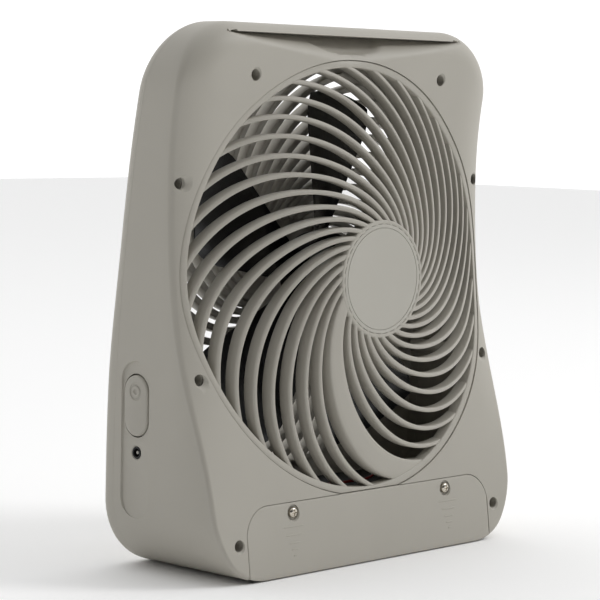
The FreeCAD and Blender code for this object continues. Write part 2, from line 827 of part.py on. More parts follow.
def channelPoint(r, aside):
    """A point behind the closed gap, aside of its middle by a few millimetres."""
    share = (r - hubRadius) / (openingRadius - hubRadius)
    middle = firstBarAngle + 180.0 / barCount + swirlTurn(share)
    angle = math.radians(middle) + aside / r
    x = r * math.cos(angle)
    z = r * math.sin(angle)
    return V(x, domeY(x, z) + barDepth + leadRadius + leadLift, centreZ + z)


def leadRoute(aside, tail):
    start = V(-motorRadius - 1.2, motorPlateY + 10, centreZ - 7 - aside)
    points = [start, V(-30, motorPlateY + 10.5, centreZ - 9 - aside)]
    for r in (52, 74, 96, 118):
        points.append(channelPoint(r, aside))
    return points + tail


def makeLeadRed():
    tail = [V(36, -24, 50), V(12, -12, leadFloorZ), V(-25, -5, leadFloorZ), V(-65, -8, leadFloorZ),
            V(-100, 2, leadFloorZ + 2), V(-118, 12, 64), V(-121, 20, 82),
            V(switchBackX + 6, sideY - 2.4 - leadRadius, rockerZ - 10)]
    return leadTube(leadRoute(-leadAside, tail))


def makeLeadBlack():
    tail = [V(50, -24, 56), V(64, -14, leadFloorZ + 2), V(82, -10, leadFloorZ),
            V(96, -8, trayTopZ + leadRadius)]
    return leadTube(leadRoute(leadAside, tail))


def main():
    hollow = shell()
    nodes = {
        "front_housing": makeFrontHousing(hollow),
        "rear_housing": makeRearHousing(hollow),
        "front_grille": makeFrontGrille(),
        "rear_grille": makeRearGrille(),
        "hub_cap": makeHubCap(),
        "housing_screws": makeHousingScrews(),
        "battery_door": makeBatteryDoor(),
        "door_screws": makeDoorScrews(),
        "door_screw_retainers": makeDoorScrewRetainers(),
        "battery_tray": makeBatteryTray(),
        "battery_cells": makeBatteryCells(),
        "battery_springs": makeBatterySprings(),
        "contact_plates": makeContactPlates(),
        "motor_can": makeMotorCan(),
        "motor_end_bell": makeMotorEndBell(),
        "motor_screws": makeMotorScrews(),
        "motor_magnets": makeMotorMagnets(),
        "armature_core": makeArmatureCore(),
        "armature_windings": makeArmatureWindings(),
        "commutator": makeCommutator(),
        "motor_brushes": makeMotorBrushes(),
        "motor_shaft": makeMotorShaft(),
        "front_bushing": makeBushing(motorFrontY - 1, motorFrontY + endBellDepth),
        "rear_bushing": makeBushing(motorBackY - canWall - 2, motorBackY + 1.6),
        "motor_isolator": makeMotorIsolator(),
        "fan_blade": makeFanBlade(),
        "blade_retainer": makeBladeRetainer(),
        "rocker_cap": makeRockerCap(),
        "switch_body": makeSwitchBody(),
        "switch_terminals": makeSwitchTerminals(),
        "jack_body": makeJackBody(),
        "jack_pin": makeJackPin(),
        "jack_board": makeJackBoard(),
        "speed_resistor": makeSpeedResistor(),
        "lead_red": makeLeadRed(),
        "lead_black": makeLeadBlack(),
        "rubber_feet": makeRubberFeet(),
    }
    os.makedirs("parts", exist_ok=True)
    for name, shape in nodes.items():
        shape.exportStep("parts/" + name + ".step")
        print(name, "solids", len(shape.Solids), "valid", shape.isValid(), "volume", round(shape.Volume))


main()
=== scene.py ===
import bpy
import bmesh
import math
import numpy as np
from mathutils import Matrix, Vector


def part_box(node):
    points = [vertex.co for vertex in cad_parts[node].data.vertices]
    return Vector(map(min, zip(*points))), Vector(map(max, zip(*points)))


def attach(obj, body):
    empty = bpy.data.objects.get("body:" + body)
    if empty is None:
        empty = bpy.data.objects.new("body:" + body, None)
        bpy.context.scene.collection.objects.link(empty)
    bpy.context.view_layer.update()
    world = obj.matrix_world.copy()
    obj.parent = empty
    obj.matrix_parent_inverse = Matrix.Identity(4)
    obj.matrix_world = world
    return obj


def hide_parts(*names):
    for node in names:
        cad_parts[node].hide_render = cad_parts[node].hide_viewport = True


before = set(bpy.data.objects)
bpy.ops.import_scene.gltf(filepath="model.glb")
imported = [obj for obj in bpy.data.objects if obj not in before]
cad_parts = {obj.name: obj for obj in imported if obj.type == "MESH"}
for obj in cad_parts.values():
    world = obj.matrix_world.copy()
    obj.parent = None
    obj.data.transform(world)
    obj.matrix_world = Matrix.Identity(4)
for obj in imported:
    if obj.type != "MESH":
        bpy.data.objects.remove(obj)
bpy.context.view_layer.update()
mm = 0.001          # sizes below are in millimetres, meshes are in metres


def boxMm(node):
    low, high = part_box(node)
    return low / mm, high / mm


casingHigh = boxMm("front_housing")[1]
hubLow, hubHigh = boxMm("hub_cap")
rotorHigh = boxMm("fan_blade")[1]
doorLow, doorHigh = boxMm("battery_door")
centreZ = (hubLow.z + hubHigh.z) / 2

# the casing; face and back are (z, y) points that a smooth line joins
casing = {
    "halfWidth": casingHigh.x,
    "height": casingHigh.z,
    "corner": 46.0,
    "wall": 2.4,
    "face": [(0, -54.5), (26, -51.3), (69, -43.6), (100, -36.4), (131, -29.2), (162, -23.3),
             (194, -19.4), (226, -17.6), (273, -17.8), (300, -20.6), (322, -24.0), (345, -26.2),
             (370, -27.5)],
    "back": [(0, 55), (60, 54.7), (123, 52.9), (162, 50), (201, 46), (240, 41), (279, 35),
             (317, 27.5), (370, 15.5)],
    "topRound": 19.0,
    "backRound": 11.6,
    "backEdgeRound": 7.5,
    "backEdgeHigh": 11.5,     # the back's side edges round off more in the upper half
    "backEdgeFrom": (120.0, 215.0),
    "creaseRound": 2.7,
    "upperBlend": 40.0,       # height over which the upper half's shape sets in
    "fallReach": 40.0,        # how far in from the sides the face starts to fall back
    "fallPower": 3.0,
    "fallHigh": 8.8,          # fall at the side edge, upper part
    "fallFrom": 50.0,         # height where the fall starts
    "fallTo": 175.0,
    "draftSlope": 0.15,       # lower sides lean in towards the front
    "draftFrom": -18.0,
    "draftEase": 6.0,
    "draftReach": 26.0,       # how far in from the sides the draft is felt
    "seamDepth": 12.0,
    "seamGap": 0.1,
}
finger = {"lip": 6.5, "halfWidth": 113.5, "reachDown": 20.5, "depth": 18.0, "taper": 0.8,
          "power": 1.6, "padHalf": 38.4, "padHigh": 12.5, "padDepth": 3.6, "padEdge": 0.88}
ring = {"shellRadius": 144.6, "bandOuter": 144.25, "bandInner": 139.4, "drop": 0.55, "barDrop": 1.5,
        "doorLine": doorHigh.z + 0.45}


def smoothLine(points):
    # natural cubic through (position, value) points
    x = np.array([p[0] for p in points], float)
    y = np.array([p[1] for p in points], float)
    n = len(x)
    h = np.diff(x)
    a = np.eye(n)
    b = np.zeros(n)
    for i in range(1, n - 1):
        a[i, i - 1:i + 2] = (h[i - 1], 2 * (h[i - 1] + h[i]), h[i])
        b[i] = 6 * ((y[i + 1] - y[i]) / h[i] - (y[i] - y[i - 1]) / h[i - 1])
    m = np.linalg.solve(a, b)

    def value(at):
        at = np.asarray(at, float)
        i = np.clip(np.searchsorted(x, at) - 1, 0, n - 2)
        left = at - x[i]
        right = x[i + 1] - at
        bend = (m[i] * right ** 3 + m[i + 1] * left ** 3) / (6 * h[i])
        return (bend + (y[i] / h[i] - m[i] * h[i] / 6) * right
                + (y[i + 1] / h[i] - m[i + 1] * h[i] / 6) * left)
    return value


faceProfile = smoothLine(casing["face"])
backProfile = smoothLine(casing["back"])


def ease(low, high, at):
    share = np.clip((np.asarray(at, float) - low) / (high - low), 0, 1)
    return share * share * (3 - 2 * share)


def upperHalf(z):
    # none in the lower half, all of it above the blend
    middle = casing["height"] / 2
    return ease(middle, middle + casing["upperBlend"], z)


def roundOff(distance, radius):
    # how far a rounded edge has turned away at a distance in from it
    near = np.clip(radius - distance, 0, radius)
    return radius - np.sqrt(radius ** 2 - near ** 2)


def edgeFacts(x, z):
    # distance in from the outline, and how much of the outward direction there is up or down
    half = casing["height"] / 2
    qx = np.abs(x) - (casing["halfWidth"] - casing["corner"])
    qz = np.abs(z - half) - (half - casing["corner"])
    run = np.hypot(np.maximum(qx, 0), np.maximum(qz, 0))
    inside = np.minimum(np.maximum(qx, qz), 0)
    distance = casing["corner"] - run - inside
    straight = np.where(qz > qx, 1.0, 0.0)
    steep = np.where((qx > 0) & (qz > 0), np.maximum(qz, 0) / np.maximum(run, 1e-6), straight)
    return distance, steep


def fingerDepth(x, z, grow=0.0):
    # grow carries the full depth on past the lip, for the skin behind it
    under = casing["height"] - finger["lip"] - z
    below = np.maximum(under, 0)
    across = np.clip(np.abs(x) / finger["halfWidth"], 0, 1)
    share = (1 - across) ** finger["taper"]
    reach = np.maximum(finger["reachDown"] * share, 1e-3)
    v = np.clip(1 - below / reach, 0, 1)
    valley = finger["depth"] * np.sqrt(share) * v ** finger["power"]
    oval = np.hypot(x / finger["padHalf"], below / finger["padHigh"])
    pad = finger["padDepth"] * (1 - ease(finger["padEdge"], 1.0, oval))
    return np.where(under > -grow, valley + pad, 0.0)


def faceAt(x, z, grow=0.0):
    # y of the front surface; the top edge turns over, the sides fall back
    x = np.asarray(x, float)
    z = np.asarray(z, float)
    distance, steep = edgeFacts(x, z)
    topShare = ease(0.0, 1.0, steep) * upperHalf(z)
    fall = casing["fallHigh"] * ease(casing["fallFrom"], casing["fallTo"], z)
    near = np.clip(1 - distance / casing["fallReach"], 0, 1)
    sideShare = 1 - ease(0.0, 1.0, steep)
    y = faceProfile(z) + fall * near ** casing["fallPower"] * sideShare
    y = y + roundOff(np.maximum(distance, 0), casing["topRound"]) * topShare
    if grow is not None:
        y = y + fingerDepth(x, z, grow)
    return y


def backAt(x, z, _grow=0.0):
    x = np.asarray(x, float)
    z = np.asarray(z, float)
    distance, steep = edgeFacts(x, z)
    topShare = ease(0.0, 1.0, steep) * upperHalf(z)
    distance = np.maximum(distance, 0)
    more = casing["backEdgeHigh"] - casing["backEdgeRound"]
    edge = roundOff(distance, casing["backEdgeRound"] + more * ease(*casing["backEdgeFrom"], z))
    top = roundOff(distance, casing["backRound"])
    return backProfile(z) - (edge * (1 - topShare) + top * topShare)


def leanIn(x, y):
    # the lower sides' draft: x drawn in where the front stands far forward
    s = np.maximum(casing["draftFrom"] - y, 0)
    draft = casing["draftSlope"] * s ** 2 / (s + casing["draftEase"])
    weight = ease(casing["halfWidth"] - casing["draftReach"], casing["halfWidth"], np.abs(x))
    return x - np.sign(x) * draft * weight


def gridFaces(rows, columns, closeRows=False, closeColumns=True, start=0):
    faces = []
    for i in range(rows if closeRows else rows - 1):
        for j in range(columns if closeColumns else columns - 1):
            a = i * columns + j
            b = i * columns + (j + 1) % columns
            c = ((i + 1) % rows) * columns + (j + 1) % columns
            d = ((i + 1) % rows) * columns + j
            faces.append((start + a, start + b, start + c, start + d))
    return faces


def joinShapes(shapes):
    verts = []
    faces = []
    count = 0
    for points, polygons in shapes:
        points = np.asarray(points, float).reshape(-1, 3)
        verts.append(points)
        faces.extend([tuple(v + count for v in p) for p in polygons])
        count += len(points)
    return np.vstack(verts), faces


def shapeOf(obj):
    # vertices in millimetres and faces of a mesh object
    data = obj.data
    points = np.zeros(len(data.vertices) * 3)
    data.vertices.foreach_get("co", points)
    return points.reshape(-1, 3) / mm, [tuple(p.vertices) for p in data.polygons]


def tidyNormals(mesh, doubles=1e-7):
    bm = bmesh.new()
    bm.from_mesh(mesh)
    bmesh.ops.remove_doubles(bm, verts=bm.verts, dist=doubles)
    bmesh.ops.recalc_face_normals(bm, faces=bm.faces)
    if bm.calc_volume(signed=True) < 0:
        bmesh.ops.reverse_faces(bm, faces=bm.faces)
    bm.to_mesh(mesh)
    bm.free()


def smoothMesh(mesh, angle=32):
    mesh.shade_smooth()
    mesh.set_sharp_from_angle(angle=math.radians(angle))


def makeObject(name, shapes, material=None, angle=32):
    verts, faces = joinShapes(shapes)
    mesh = bpy.data.meshes.new(name)
    mesh.from_pydata((verts * mm).tolist(), [], faces)
    tidyNormals(mesh)
    smoothMesh(mesh, angle)
    obj = bpy.data.objects.new(name, mesh)
    bpy.context.scene.collection.objects.link(obj)
    if material:
        mesh.materials.append(material)
    return obj


def applyModifiers(obj, angle=32):
    graph = bpy.context.evaluated_depsgraph_get()
    made = bpy.data.meshes.new_from_object(obj.evaluated_get(graph), depsgraph=graph)
    obj.modifiers.clear()
    obj.data = made
    smoothMesh(made, angle)
    return obj


def cutAway(obj, shapes, angle=32):
    cutter = makeObject("cutter", shapes)
    cut = obj.modifiers.new("cut", "BOOLEAN")
    cut.object = cutter
    cut.operation = "DIFFERENCE"
    cut.solver = "EXACT"
    applyModifiers(obj, angle)
    bpy.data.objects.remove(cutter)
    return obj


def lathe(profile, steps=96, x=0.0, z=None, axis="Y"):
    # closed ring or solid turned about an axis; profile is (radius, along) points
    z = centreZ if z is None else z
    turn = np.linspace(0, 2 * math.pi, steps, endpoint=False)
    rows = []
    for radius, along in profile:
        c = np.cos(turn) * radius
        s = np.sin(turn) * radius
        rows.append(np.column_stack([x + c, np.full(steps, along), z + s]))
    verts = np.vstack(rows)
    faces = gridFaces(len(profile), steps)
    if profile[0][0] > 1e-6 and profile[-1][0] > 1e-6 and profile[0] == profile[-1]:
        faces = gridFaces(len(profile) - 1, steps, closeRows=True)
        verts = verts[:-steps]
    else:
        faces.append(tuple(range(steps)))
        faces.append(tuple(range(len(verts) - steps, len(verts))))
    if axis == "X":
        verts = verts[:, [1, 0, 2]]
    if axis == "Z":
        verts = verts[:, [0, 2, 1]]
    return verts, faces


def prism(outline, low, high, axis="Y"):
    # outline is (a, b) points; axis Y: a is x and b is z; axis X: a is y and b is z
    flat = np.array(outline, float)
    n = len(flat)
    ends = []
    for at in (low, high):
        fixed = np.full(n, float(at))
        if axis == "Y":
            ends.append(np.column_stack([flat[:, 0], fixed, flat[:, 1]]))
        else:
            ends.append(np.column_stack([fixed, flat[:, 0], flat[:, 1]]))
    faces = gridFaces(2, n)
    faces.append(tuple(range(n)))
    faces.append(tuple(range(n, 2 * n)))
    return np.vstack(ends), faces


def oblong(y, low, high, half, steps=20):
    # upright slot with round ends, low and high are its very ends
    up = np.linspace(0, math.pi, steps)
    top = np.column_stack([y + half * np.cos(up), high - half + half * np.sin(up)])
    bottom = np.column_stack([y - half * np.cos(up), low + half - half * np.sin(up)])
    return np.vstack([top, bottom])


def linear(hexColour):
    parts = [int(hexColour[i:i + 2], 16) / 255 for i in (1, 3, 5)]
    done = [p / 12.92 if p <= 0.04045 else ((p + 0.055) / 1.055) ** 2.4 for p in parts]
    return (*done, 1.0)


def addNode(tree, kind, values=None, links=None, **settings):
    node = tree.nodes.new(kind)
    for key, value in settings.items():
        setattr(node, key, value)
    for key, value in (values or {}).items():
        node.inputs[key].default_value = value
    for key, source in (links or {}).items():
        tree.links.new(source, node.inputs[key])
    return node


def surface(name, colour, shade, roughness, grainMm, bumpMm, patchMm=40.0, metallic=0.0, spread=0.06,
            stretch=(1, 1, 1), **shader):
    # one tone drifts slowly into another, over a fine grain that also breaks up the gloss
    material = bpy.data.materials.new(name)
    material.use_nodes = True
    tree = material.node_tree
    tree.nodes.clear()
    place = addNode(tree, "ShaderNodeTexCoord")
    mapped = addNode(tree, "ShaderNodeMapping", {"Scale": stretch}, {"Vector": place.outputs["Object"]})
    patch = addNode(tree, "ShaderNodeTexNoise", {"Scale": 1 / (patchMm * mm), "Detail": 3.0},
                    {"Vector": place.outputs["Object"]})
    grain = addNode(tree, "ShaderNodeTexNoise", {"Scale": 1 / (grainMm * mm), "Detail": 2.0},
                    {"Vector": mapped.outputs["Vector"]})
    tones = addNode(tree, "ShaderNodeMix", {6: linear(colour), 7: linear(shade)},
                    {0: patch.outputs["Fac"]}, data_type="RGBA")
    gloss = addNode(tree, "ShaderNodeMapRange",
                    {"To Min": roughness - spread, "To Max": roughness + spread},
                    {"Value": grain.outputs["Fac"]})
    bump = addNode(tree, "ShaderNodeBump", {"Strength": 0.6, "Distance": bumpMm * mm},
                   {"Height": grain.outputs["Fac"]})
    values = {"Metallic": metallic}
    values.update(shader)
    skin = addNode(tree, "ShaderNodeBsdfPrincipled", values,
                   {"Base Color": tones.outputs[2], "Roughness": gloss.outputs["Result"],
                    "Normal": bump.outputs["Normal"]})
    addNode(tree, "ShaderNodeOutputMaterial", links={"Surface": skin.outputs["BSDF"]})
    return material


# moulded ABS: a spark-eroded tool leaves a matte skin, here drawn at 0.8 mm so that it shows
greyAbs = surface("mouldedGreyAbs", "#B3AFA5", "#ABA79D", 0.52, 0.8, 0.05, patchMm=90)
# the hub's tool was smoother, so its skin is a little softer and darker
hubAbs = surface("smoothGreyAbs", "#B6B3AA", "#B1AEA4", 0.42, 1.2, 0.02, patchMm=60)
# the rocker is handled most: its skin is polished a little
rockerAbs = surface("handledGreyAbs", "#ADA99F", "#A5A197", 0.4, 1.0, 0.02, patchMm=25)
# gloss black polypropylene: deep black with long soft highlights
blackPp = surface("glossBlackPolypropylene", "#121213", "#191A1B", 0.22, 3.0, 0.03, patchMm=60, spread=0.05)
# black nylon: matte, slightly grainy
blackNylon = surface("mouldedBlackNylon", "#161616", "#1E1E1E", 0.55, 0.7, 0.03)
# zinc plate on steel: cool grey with a faint straw cast and a fine satin
zincPlate = surface("zincPlatedSteel", "#8F9091", "#A39E92", 0.34, 0.4, 0.01, patchMm=4, metallic=1.0)
# nickel plate: warm, bright, nearly a mirror
nickelPlate = surface("nickelPlatedSteel", "#D8D2C6", "#BDB6AA", 0.18, 0.4, 0.008, patchMm=3, metallic=1.0)
# drawn steel can: faint lines round it
drawnSteel = surface("drawnZincSteel", "#9C9EA0", "#8B8D90", 0.36, 0.5, 0.01,
                     metallic=1.0, stretch=(1, 6, 1))
# sintered ferrite: dead matte charcoal
ferrite = surface("sinteredFerrite", "#2B2A2A", "#343231", 0.75, 0.5, 0.03)
# stacked steel laminations: thin lines across the axis
lamination = surface("laminatedSteel", "#6E6C69", "#57544F", 0.45, 1.6, 0.05,
                     metallic=1.0, stretch=(0.2, 3, 0.2))
# enamelled copper: amber varnish over copper
copper = surface("enamelledCopper", "#A8532A", "#8A3D1C", 0.3, 0.7, 0.05, metallic=1.0, stretch=(1, 0.3, 1))
# carbon brush: soft black with a sheen
carbon = surface("pressedCarbon", "#1A1A1B", "#26262A", 0.5, 0.3, 0.02)
# ground shaft: bright, with fine rings
groundSteel = surface("groundSteel", "#B9BBBE", "#A9ABAF", 0.2, 0.3, 0.005,
                      metallic=1.0, stretch=(0.3, 4, 0.3))
# sintered bronze: matte, porous, oily
bronze = surface("sinteredBronze", "#8C6A3A", "#76572D", 0.5, 0.25, 0.03, metallic=1.0)
# soft black rubber: matte with a dusty bloom
blackRubber = surface("blackRubber", "#1C1C1C", "#262524", 0.8, 0.6, 0.04)
greyRubber = surface("greyRubber", "#4A4946", "#555350", 0.8, 0.6, 0.04)
# spring wire: bright drawn nickel
springNickel = surface("nickelSpringWire", "#C9C4BA", "#AFA99E", 0.25, 0.3, 0.01, metallic=1.0)
# brass tabs: pale yellow, slightly dulled
brass = surface("stampedBrass", "#C2A25A", "#AC8C48", 0.32, 0.5, 0.01, metallic=1.0)
# shrink sleeve on a cell: satin PVC
cellSleeve = surface("shrinkPvcSleeve", "#23405F", "#1E3854", 0.38, 2.0, 0.02, patchMm=20)
# solder mask over glass fibre: gloss green with the weave just showing
boardGreen = surface("greenSolderMask", "#1F5B3A", "#1A4E32", 0.3, 0.8, 0.01, patchMm=8)
# fired ceramic: chalky off-white
ceramic = surface("firedCeramic", "#CFC7B4", "#C2B9A5", 0.6, 0.5, 0.02, patchMm=10)
# PVC insulation: even colour, soft gloss
redPvc = surface("redPvcInsulation", "#9E1F1C", "#8C1A18", 0.38, 1.0, 0.01, patchMm=20)
blackPvc = surface("blackPvcInsulation", "#17171A", "#202024", 0.38, 1.0, 0.01, patchMm=20)
print("materials made")

# how finely the shells are divided, and how far in from the edge each row lies
shellMesh = {"rays": 560, "topRays": 280, "spreadRows": 9, "sideRows": 7, "lipEnd": 7.2}
edgeSteps = [0.0, 0.12, 0.4, 0.85, 1.4, 2.0, 2.7, 3.5, 4.4, 5.4, 6.45]
afterLip = [6.55, 7.2, 8.2, 9.4, 10.8, 12.2, 13.6, 15.0, 16.4, 17.8, 19.2, 20.6, 22.4, 24.2, 26.0]


def rayAngles():
    # more rays where the finger recess needs them
    rise = casing["height"] - centreZ
    edge = math.atan2(rise, casing["halfWidth"] - 30)
    top = np.linspace(edge, math.pi - edge, shellMesh["topRays"], endpoint=False)
    others = shellMesh["rays"] - shellMesh["topRays"]
    rest = np.linspace(math.pi - edge, 2 * math.pi + edge, others, endpoint=False)
    return np.concatenate([top, rest])


def outlineAt(angles, inset=0.0):
    # where each ray from the hub meets the outline, found by halving
    low = np.full(len(angles), 60.0)
    high = np.full(len(angles), 300.0)
    for _ in range(40):
        middle = (low + high) / 2
        inside = edgeFacts(middle * np.cos(angles), centreZ + middle * np.sin(angles))[0] > inset
        low = np.where(inside, middle, low)
        high = np.where(inside, high, middle)
    return low


def outwardAt(x, z):
    # outward direction of the outline nearest to a point
    step = 0.01
    dx = edgeFacts(x + step, z)[0] - edgeFacts(x - step, z)[0]
    dz = edgeFacts(x, z + step)[0] - edgeFacts(x, z - step)[0]
    length = np.maximum(np.hypot(dx, dz), 1e-9)
    return -dx / length, -dz / length


def rowPlaces(angles, ringRadius, wall=0.0):
    # x and z of every row from the outline in to the ring; wall is the inner skin's inset
    rim = outlineAt(angles)
    rimX = rim * np.cos(angles)
    rimZ = centreZ + rim * np.sin(angles)
    outX, outZ = outwardAt(rimX * 0.9999, centreZ + (rimZ - centreZ) * 0.9999)
    gap = rim - ringRadius
    steps = edgeSteps + afterLip
    lipEnd = shellMesh["lipEnd"]
    room = np.maximum(gap - 0.6 - wall, 0.5)
    edge = np.minimum(1.0, room * 0.8 / lipEnd)
    rest = np.minimum(1.0, (room - lipEnd * edge) / (steps[-1] - lipEnd))
    rows = []
    for step in steps:
        inset = wall + min(step, lipEnd) * edge + max(step - lipEnd, 0) * rest
        rows.append((rimX - outX * inset, rimZ - outZ * inset))
    lastX, lastZ = rows[-1]
    reach = np.hypot(lastX, lastZ - centreZ)
    ringX = ringRadius * lastX / reach
    ringZ = centreZ + ringRadius * (lastZ - centreZ) / reach
    for i in range(1, shellMesh["spreadRows"] + 1):
        share = i / shellMesh["spreadRows"]
        rows.append((lastX + (ringX - lastX) * share, lastZ + (ringZ - lastZ) * share))
    return rows, (rimX, rimZ, outX, outZ)


def makeShell(name, surfaceAt, ringRadius, seamShift, outward, crease):
    # closed skin: outer face, edge, side, seam, inner side, inner face, back to the ring
    angles = rayAngles()
    wall = casing["wall"]
    rows, rim = rowPlaces(angles, ringRadius)
    rimX, rimZ, outX, outZ = rim
    sheets = []
    for x, z in rows:
        y = surfaceAt(x, z)
        if crease > 0:
            distance = np.maximum(edgeFacts(x, z)[0], 0)
            y = y - outward * roundOff(distance, crease) * creaseShare(x, z)
        sheets.append((x, y, z))
    sheets.reverse()
    seam = backProfile(rimZ) - casing["seamDepth"] + seamShift
    edgeY = sheets[-1][1]
    for i in range(1, shellMesh["sideRows"] + 1):
        share = i / shellMesh["sideRows"]
        sheets.append((rimX, edgeY + (seam - edgeY) * share, rimZ))
    innerRows = rowPlaces(angles, ringRadius, wall)[0]
    insetX = rimX - outX * wall
    insetZ = rimZ - outZ * wall
    innerEdge = surfaceAt(*innerRows[0], wall) - outward * wall * 1.6
    innerEdge = np.maximum(innerEdge, seam + 1) if outward > 0 else np.minimum(innerEdge, seam - 1)
    for i in range(shellMesh["sideRows"]):
        share = i / shellMesh["sideRows"]
        sheets.append((insetX, seam + (innerEdge - seam) * share, insetZ))
    for number, (x, z) in enumerate(innerRows):
        y = innerEdge if number == 0 else surfaceAt(x, z, wall) - outward * wall
        sheets.append((x, y, z))
    verts = []
    for x, y, z in sheets:
        verts.append(np.column_stack([leanIn(x, y), y, z]))
    faces = gridFaces(len(sheets), len(angles), closeRows=True)
    return makeObject(name, [(np.vstack(verts), faces)], greyAbs)


def creaseShare(x, z):
    # small rounding along the sides and the base, none along the top, which has its own
    steep = edgeFacts(x, z)[1]
    return 1 - ease(0.2, 0.9, steep) * upperHalf(z)


def doorOutline(grow, low):
    # the door from the front: round upper corners, straight base
    half = doorHigh.x + grow
    top = doorHigh.z + grow
    radius = door["corner"] + grow
    turn = np.linspace(0, math.pi / 2, 14)
    right = np.column_stack([half - radius + radius * np.cos(turn), top - radius + radius * np.sin(turn)])
    left = np.column_stack([-right[::-1, 0], right[::-1, 1]])
    return np.vstack([right, left, [(-half, low), (half, low)]])


door = {"corner": 20.0, "gap": 0.4, "screwX": 74.8, "screwZ": 40.7, "cupRadius": 5.2, "cupFloor": -46.7,
        "edge": 0.7, "wall": 2.4, "screwBore": 1.7, "boss": 6.4}
screwHoles = {"places": [(90.0, 322.0), (143.0, 252.5), (138.4, 129.0), (125.0, 25.1)], "radius": 3.8,
              "lip": 0.7, "postWall": 1.2, "postFrom": 1.6, "shortPost": 4.0,
              "seatBehind": 3.0}
sidePanel = {"y": 22.2, "low": 36.0, "high": 137.0, "half": 12.5, "depth": 1.5, "slope": 0.9,
             "jackZ": 78.3, "jackRadius": 4.0, "jackFlare": 0.7, "rockerGap": 0.5, "rockerEndGap": 0.9}


def panelCutter(left):
    # shallow side recess: sloping edge, rounded into a flat floor
    slope = sidePanel["slope"]
    depth = sidePanel["depth"]
    rows = []
    for grow, x in [(slope + 3, -3.0), (slope, 0.0), (slope * 0.75, depth * 0.1),
                    (slope * 0.3, depth * 0.75), (slope * 0.1, depth * 0.96), (-0.2, depth)]:
        outline = oblong(sidePanel["y"], sidePanel["low"] - grow, sidePanel["high"] + grow,
                         sidePanel["half"] + grow)
        rows.append(np.column_stack([np.full(len(outline), left + x), outline[:, 0], outline[:, 1]]))
    count = len(rows[0])
    faces = gridFaces(len(rows), count)
    faces.append(tuple(range(count)))
    faces.append(tuple(range(count * (len(rows) - 1), count * len(rows))))
    return np.vstack(rows), faces


def makeFrontShell():
    shell = makeShell("frontShell", faceAt, ring["shellRadius"], -casing["seamGap"] / 2, -1,
                      casing["creaseRound"])
    far = 220.0
    left = -casing["halfWidth"]
    cutAway(shell, [prism(doorOutline(door["gap"], -20), -far, -36)])
    radius = screwHoles["radius"]
    lip = screwHoles["lip"]
    holes = []
    for x, z in screwHoles["places"]:
        for side in (-1, 1):
            y = float(faceAt(side * x, z))
            profile = [(0.01, y - 4), (radius + lip + 4, y - 4), (radius, y + lip), (radius, y + 16),
                       (0.01, y + 16)]
            holes.append(lathe(profile, 40, side * x, z))
    cutAway(shell, holes)
    cuts = []
    for foot in feet["places"]:
        for side in (-1, 1):
            r = feet["radius"] + 0.2
            profile = [(0.01, -5), (r, -5), (r, feet["deep"]), (0.01, feet["deep"])]
            cuts.append(lathe(profile, 40, side * foot[0], foot[1], "Z"))
    cuts.append(panelCutter(left))
    cutAway(shell, cuts)
    rockerLow, rockerHigh = boxMm("rocker_cap")
    gap = sidePanel["rockerEndGap"]
    half = rocker["half"] + sidePanel["rockerGap"]
    hole = oblong(sidePanel["y"], rockerLow.z - gap, rockerHigh.z + gap, half)
    r = sidePanel["jackRadius"]
    flare = sidePanel["jackFlare"]
    floor = left + sidePanel["depth"]
    jackHole = lathe([(0.01, floor - 3), (r + flare + 3, floor - 3), (r + flare, floor), (r, floor + flare),
                      (r, left + 12), (0.01, left + 12)], 48, sidePanel["y"], sidePanel["jackZ"], "X")
    cutAway(shell, [prism(hole, left - 20, left + 12, "X"), jackHole])
    whole = makeObject("frontShellWhole", [shapeOf(shell)] + screwPosts(), greyAbs)
    bpy.data.objects.remove(shell)
    whole.name = "frontShell"
    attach(whole, "housing")
    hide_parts("front_housing")
    print("front shell made", len(whole.data.polygons))


def screwPosts():
    # tubes behind the holes, each with a floor that its screw's head sits on
    posts = []
    inner = screwHoles["radius"]
    outer = inner + screwHoles["postWall"]
    for x, z in screwHoles["places"]:
        for side in (-1, 1):
            front = float(np.max(faceAt([x, x - outer, x + outer], z))) + screwHoles["postFrom"]
            seat = screwSeat(z)
            bore = 1.6
            if side < 0 and sidePanel["low"] < z < sidePanel["high"]:
                # the post beside the rocker stops short of it, open at its end
                seat = screwHoles["shortPost"]
                bore = inner
            posts.append(lathe([(inner, front), (outer, front), (outer, seat + 1.6), (bore, seat + 1.6),
                                (bore, seat), (inner, seat), (inner, front)], 40, side * x, z))
    return posts


def screwSeat(z):
    return float(backProfile(z)) - casing["seamDepth"] - screwHoles["seatBehind"]


feet = {"places": [(88.0, -30.0), (88.0, 36.0)], "radius": 7.0, "deep": 1.0}
rocker = {"half": 11.3, "crown": 0.9, "edge": 1.6, "markUp": 9.1, "markIn": 3.4, "markOut": 5.8,
          "markDepth": 0.5, "dimple": 2.1}


def makeRearShell():
    shell = makeShell("rearShell", backAt, rearRing["radius"], casing["seamGap"] / 2, 1, 0)
    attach(shell, "housing")
    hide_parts("rear_housing")
    print("rear shell made")


rearRing = {"radius": 140.2, "bandOuter": 139.9, "bandInner": 136.6, "drop": 0.8}

makeFrontShell()
makeRearShell()

# both grilles; a bar's angle is a cubic of its share of the way out, in degrees
swirl = {"count": 34, "turn": (148.9, -126.6, 66.0), "first": 194.5, "hubRadius": 36.4, "rimRadius": 141.0,
         "widthHub": 3.1, "widthRim": 4.0, "depth": 9.3, "fillet": 1.1, "domePower": 1.34,
         "rearWidth": 1.5, "rearDepth": 11.5, "hubFront": hubLow.y}


def swirlAngle(share):
    a, b, c = swirl["turn"]
    return np.radians(swirl["first"] + a * share + b * share ** 2 + c * share ** 3)


